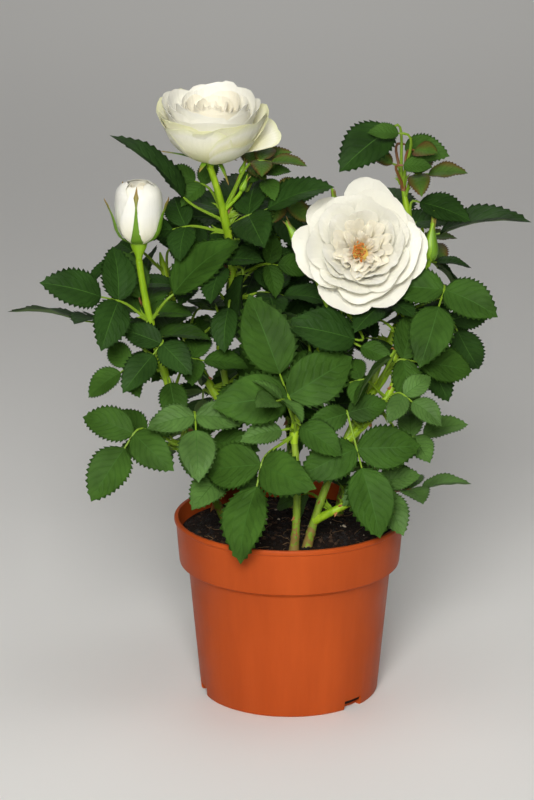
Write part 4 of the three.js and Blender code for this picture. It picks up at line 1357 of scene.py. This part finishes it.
WHITE, CREAM, GREENISH = range(3)
petal_skins = [
    silk("petal_white", "faf8eb", "f9f3cf", 0.6, "faf7e8"),
    silk("petal_cream", "fef9e8", "fef1c9", 0.7, "fdf6de"),
    silk("petal_green", "faf7e0", "e2df84", 0.86, "ecebbc"),
]
# A sepal dries to tan at its tip.
sepal_green = Skin("sepal_green", "6a931f", 0.5)
sepal_along = sepal_green.split(sepal_green.lie())["Y"]
sepal_green.set(
    Base_Color=sepal_green.ramp(sepal_along, (0.62, "6a931f"), (0.95, "94773a")))
SEPAL, HIP = range(2)
sepal_skins = [sepal_green, Skin("hip_green", "8cb61e", 0.45)]

# Each whorl of petals: their number, the first one's turn, their half-width in degrees, and
# where their belly and rim lie, as [out, up].
def whorl(count, first, half, belly, rim, tint=WHITE, **more):
    turns = [first + 360 / count * number for number in range(count)]
    return dict(turns=turns, half=half, belly=belly, rim=rim, tint=tint, **more)


bloom_rings = {
    "bloom_top": [
        whorl(1, 16, 31, (25, 12), (35.5, 17), GREENISH, curl=0.3, wave=0.6, scatter=0, tilt=7),
        whorl(1, -56, 42, (20, 4), (24.5, 17), GREENISH, curl=1.6, wave=0.6, scatter=0, tilt=2),
        whorl(5, -110, 54, (23, 7), (27.5, 29.5), GREENISH, curl=2.2, wave=1.5, fold=0.2, back=3),
        whorl(5, -72, 54, (22.5, 10), (26, 31), GREENISH, curl=2.0, wave=1.6, fold=0.1, back=4),
        whorl(4, -95, 60, (21.5, 13), (23.5, 34), curl=1.4, wave=1.3, fold=0.1, back=4.5),
        whorl(3, -60, 78, (19.5, 15), (20.8, 34.6), curl=0.9, wave=1.2, fold=0.4, back=4.2),
        whorl(3, -120, 78, (16.5, 16), (17.4, 34), curl=0.6, wave=1.2, fold=0.5, back=3.4,
              scatter=1.8, off=(0.5, 0.4)),
        whorl(3, -80, 76, (13.5, 16), (14, 33), CREAM, curl=0.5, wave=1.1, fold=0.6, back=2.6,
              scatter=1.8, off=(-0.6, 0.3)),
        whorl(3, -40, 74, (10.5, 16), (10.8, 32.2), CREAM, curl=0.3, wave=1, fold=0.8, back=2,
              scatter=1.6, off=(0.7, -0.3)),
        whorl(3, -100, 74, (7, 16), (7.4, 31.6), CREAM, curl=0.2, wave=1, fold=1, back=1.2,
              off=(-0.4, -0.5)),
        whorl(3, 80, 70, (4.5, 16), (4, 31), CREAM, curl=0.1, wave=0.8, fold=1, scatter=0.8),
        whorl(3, 20, 78, (3, 17), (2, 30.6), CREAM, curl=0, wave=0.5, fold=0.6, scatter=0.4),
        whorl(3, 75, 80, (1.4, 18), (0.6, 30), CREAM, curl=0, wave=0.2, fold=0.3, scatter=0.2),
    ],
    "bloom_front": [
        whorl(1, 78, 31, (25, 5), (33.2, 19.5), curl=1.6, wave=1.9, scatter=0),
        whorl(1, -5, 35, (25, 4), (32, 17.5), curl=1.6, wave=1.9, scatter=0),
        whorl(1, -60, 33, (25, 4), (32, 18), curl=1.4, wave=1.9, scatter=0),
        whorl(1, -112, 35, (25, 4), (33.4, 18), curl=1.6, wave=1.9, scatter=0),
        whorl(1, 183, 36, (25, 5), (32, 18.5), curl=1.8, wave=1.9, scatter=0),
        whorl(1, 132, 25, (24, 6), (30.4, 20), curl=1.4, wave=1.8, scatter=0),
        whorl(1, 37, 26, (23, 6), (29.4, 20), curl=1.4, wave=1.8, scatter=0),
        whorl(5, 60, 46, (22, 8), (27, 22.4), curl=1.8, wave=1.8, scatter=1.4),
        whorl(5, 100, 44, (20, 9), (24, 25), curl=1.8, wave=1.8, scatter=1.6),
        whorl(5, 62, 42, (17.5, 11), (21.5, 26.5), curl=1.2, wave=1.8, scatter=1.6),
        whorl(6, 24, 34, (14, 13), (17.8, 26.4), curl=0.7, wave=1.8, fold=1.8, scatter=1.4,
              off=(0.3, -1)),
        whorl(7, 55, 28, (10.5, 15), (14.8, 25.4), CREAM, curl=0.4, wave=1.8, fold=1.8,
              scatter=1.4, off=(0.3, -1.6)),
        whorl(7, 20, 27, (7.8, 15.5), (12, 24.2), CREAM, curl=0.3, wave=1.8, fold=2,
              scatter=1.4, off=(0, -2.4)),
        whorl(6, 75, 27, (5.6, 15.5), (9.4, 22.8), CREAM, curl=0.2, wave=1.6, fold=2,
              off=(0, -2.8)),
        whorl(5, 40, 27, (4, 15), (6.8, 21.6), CREAM, curl=0, wave=1.2, fold=2.0, off=(0, -3.2)),
    ],
}
bloom_places = {
    "bloom_top": Flower(*flowers["foliage_top_left"]),
    "bloom_front": Flower(*flowers["foliage_centre"]),
}
HIP_RADIUS = 4.6
# How far, in degrees, a petal may stand out of its even place in the whorl.
SWAY = 9


def green_foot(flower, radii, sepals):
    """The hip under a flower, turned smooth, with its sepals."""
    grown = Gathered()
    course = [flower.at(Vector((0, 0, up))) for up, _ in radii]
    grown.add(*tube(course, [out for _, out in radii], sides=16), tints=HIP)
    for turn, width, course_at, *slimming in sepals:
        grown.add(*sepal(flower, turn, width, course_at, *slimming), tints=SEPAL)
    return grown


def turned_back(reach, drop):
    """The course of a sepal that stands out or hangs back below an open bloom."""
    def course_at(v):
        return 3.5 + reach * v, 2.2 + drop * v ** 1.6 + 1.2 * math.sin(math.pi * v)

    return course_at


# Turn, reach and drop of the five sepals under each open bloom.
open_sepals = {
    "bloom_top": [(30, 12, -2), (102, 11, 1), (178, 22, 4), (246, 10, -3), (325, 8, -11)],
    "bloom_front": [(30, 12, -4), (102, 13, 1), (174, 10, 2), (246, 11, -3), (318, 12, 0)],
}
OPEN_SEPAL_WIDTH = 4.5
bloom_hip = [(0, SHOOT_TIP), (0.6, 2.4), (1.6, HIP_RADIUS * 0.8), (3, HIP_RADIUS),
             (4.4, HIP_RADIUS * 0.85), (5, HIP_RADIUS * 0.5)]

for index, (name, rings) in enumerate(bloom_rings.items()):
    flower = bloom_places[name]
    draw = seeded(700 + index)
    petals = Gathered()
    for ring in rings:
        for turn in ring["turns"]:
            swayed = turn + SWAY * (draw() - 0.5)
            petals.add(*petal(flower, ring, swayed, draw), tints=ring["tint"])
    bloom = petals.piece(name + "_petals", petal_skins)
    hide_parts(name)
    sepals = [(turn, OPEN_SEPAL_WIDTH, turned_back(reach, drop))
              for turn, reach, drop in open_sepals[name]]
    foot = green_foot(flower, bloom_hip, sepals).piece(name + "_hip", sepal_skins)

# The front bloom is open to its stamens: a loose brush of them, a little below its middle.
STAMENS = 54
ANTHER, FILAMENT = range(2)
stamens = Gathered()
front = bloom_places["bloom_front"]
draw = seeded(77)
for _ in range(STAMENS):
    turn = math.tau * draw()
    out = 4.2 * draw() ** 0.7
    root = Vector((out * 0.5 * math.cos(turn) - 0.6, out * 0.5 * math.sin(turn) - 3, 11))
    tip = Vector((out * 0.8 * math.cos(turn) - 0.8, out * 1.2 * math.sin(turn) - 3.6,
                  mix(18, 22.5, draw())))
    bend = Vector((draw() - 0.5, draw() - 0.5, 0)) * 2
    thread = [front.at(point) for point in (root, (root + tip) / 2 + bend, tip)]
    corners, faces, _ = tube(thread, [0.16, 0.14, 0.12], sides=4)
    stamens.add(corners, faces, tints=FILAMENT)
    spin = random_turn(draw)
    grain = [front.at(tip + spin @ Vector((point.x * 0.45, point.y * 0.45, point.z * 0.85)))
             for point in CRUMB_POINTS]
    stamens.add(grain, CRUMB_FACES, tints=ANTHER)
cushion = [front.at(Vector((-0.3, -2 - up * 0.1, up))) for up in (4, 9, 13, 14.6)]
stamens.add(*tube(cushion, [4, 4.6, 3.6, 1.2], sides=12), tints=FILAMENT)
brush = stamens.piece("bloom_front_stamens", [
    Skin("anther", "c9772a", 0.7), Skin("filament", "e6c867", 0.6)])

# Buds ------------------------------------------------------------------------------------
# The left bud is half open: petals still rolled round each other over a green hip, held by
# five long sepals whose tips stand away. The small buds are still shut in their sepals.
bud = Flower(*flowers["foliage_left"])
BUD_FOOT = 9
BUD_HEIGHT = 31
BUD_PROFILE = [(0, 4.6), (0.07, 8), (0.15, 10.3), (0.28, 12.1), (0.45, 13), (0.65, 13.2),
               (0.8, 12.8), (0.9, 11.6), (0.96, 9.6), (1, 6.5)]


def bud_radius(share):
    """The bud's half-width at a share of its height, smooth between the profile's points."""
    share = min(max(share, 0), 1)
    for (low, low_out), (high, high_out) in zip(BUD_PROFILE, BUD_PROFILE[1:]):
        if share <= high:
            part = (share - low) / (high - low)
            return mix(low_out, high_out, part * part * (3 - 2 * part) * 0.3 + part * 0.7)
    return BUD_PROFILE[-1][1]


def bud_petal(turn, half, scale, tall, narrow, draw):
    """A petal rolled round the bud, its left edge over the next one."""
    tuck = mix(0.25, 0.5, draw())
    dent = mix(-0.015, 0.015, draw())

    def point_at(u, v):
        share = v * (1 - 0.17 * abs(u) ** 3 + dent * math.sin(4 * u)) * tall
        out = bud_radius(share) * scale * (1 - 0.04 * u) - tuck * (1 + u)
        opening = 0.5 + 0.5 * math.sin(math.pi / 2 * min(1, v / 0.5))
        angle = math.radians(turn + u * half * opening * (1 - narrow * v ** 2))
        up = BUD_FOOT - 0.5 + share * BUD_HEIGHT
        return bud.at(Vector((out * math.cos(angle), out * math.sin(angle), up)))

    return thin_sheet(point_at, columns=14, rows=16, thickness=0.5)


# Five petals show: turn, half-width in degrees, scale, height, narrowing. Inside them are four
# rings of three: scale, height and the first one's turn.
bud_petals = [(-99, 40, 0.98, 1.0, 0.7), (-40, 52, 1.0, 1.02, 0.1), (170, 80, 0.93, 1.01, 0.05),
              (28, 60, 0.92, 1.0, 0), (95, 60, 0.96, 1.0, 0)]
for scale, tall, first in (
        (0.82, 0.96, -60), (0.64, 0.97, 0), (0.46, 0.97, 50), (0.28, 0.95, -80)):
    bud_petals += [(first + 120 * number, 72, scale, tall, 0.1) for number in range(3)]
WHITE_PETALS = 11
rolled = Gathered()
draw = seeded(31)
for place, values in enumerate(bud_petals):
    rolled.add(*bud_petal(*values, draw), tints=WHITE if place < WHITE_PETALS else CREAM)
bud_piece = rolled.piece("bud_left_petals", petal_skins)
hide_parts("bud_left")


def held(lift, flare):
    """The course of a sepal that hugs the bud and stands away at its tip."""
    def course_at(v):
        share = 0.02 + 0.78 * v * lift
        away = flare * max(0, v - 0.45) ** 1.6
        return bud_radius(share) + 0.55 + away, BUD_FOOT - 0.5 + share * BUD_HEIGHT - away * 0.12
    return course_at


bud_hip = [(0, SHOOT_TIP), (1.5, 2.1), (3.5, 3), (5.5, 3.9), (7.5, 4.4), (BUD_FOOT, 4.9),
           (BUD_FOOT + 1.2, 4.6)]
# Turn, width, course and slimming of the five sepals.
bud_sepals = [(-92, 7.8, held(1.27, 0), 1.9), (-28, 6.6, held(1.1, 14), 0.9),
              (52, 6, held(0.95, 9), 0.9), (124, 6, held(1.15, 7), 0.9),
              (-156, 6.6, held(1.06, 14), 0.9)]
bud_green = green_foot(bud, bud_hip, bud_sepals).piece("bud_left_sepals", sepal_skins)

# A small bud's half-width along it, for one that is 22 mm long.
SMALL_BUD = [(-0.1, 0.9), (0.02, 1.2), (0.08, 2.5), (0.16, 3.3), (0.26, 3.4), (0.38, 2.8),
             (0.5, 1.9), (0.62, 1.1), (0.76, 0.3)]
SMALL_LENGTH = 22
SMALL_NECK_STEPS = 8
SMALL_NECK_RADIUS = 1.0


def shut_sepal(length, open_tip, tall):
    """The course of a sepal that closes over a small bud, its tip a little open."""
    def course_at(v):
        share = 0.04 + tall * v
        for (low, low_out), (high, high_out) in zip(SMALL_BUD, SMALL_BUD[1:]):
            if low <= share <= high or high == SMALL_BUD[-1][0]:
                near = mix(low_out, high_out, min((share - low) / (high - low), 1))
                break
        flare = open_tip * max(0, v - 0.55) ** 1.5
        return near * length / SMALL_LENGTH + 0.3 + flare, length * share

    return course_at


shut = Gathered()
draw = seeded(91)
for mass in masses.values():
    for share, heading, rise, reach, bud_heading, bud_rise, length in mass.get("buds", []):
        root = mass["course"].at(share)
        leaving = towards(heading, rise)
        foot = root + leaving * reach
        along = towards(bud_heading, bud_rise)
        neck = bent([root, root + leaving * reach * 0.5, foot - along * reach * 0.25, foot],
                    SMALL_NECK_STEPS)
        shut.add(*tube(neck, [SMALL_NECK_RADIUS] * len(neck), sides=8), tints=HIP)
        course = [foot + along * length * share for share, _ in SMALL_BUD]
        girth = [out * length / SMALL_LENGTH for _, out in SMALL_BUD]
        shut.add(*tube(course, girth, sides=10, rough=0.06), tints=HIP)
        small = Flower(foot, bud_heading, bud_rise)
        for number in range(5):
            course_at = shut_sepal(length, mix(0.5, 4, draw()), mix(0.8, 1.05, draw()))
            width = 5 * length / SMALL_LENGTH
            shut.add(*sepal(small, 72 * number + 20, width, course_at, 1.3),
                     tints=SEPAL if number % 2 == 0 else HIP)
small_buds = shut.piece("small_buds", sepal_skins)
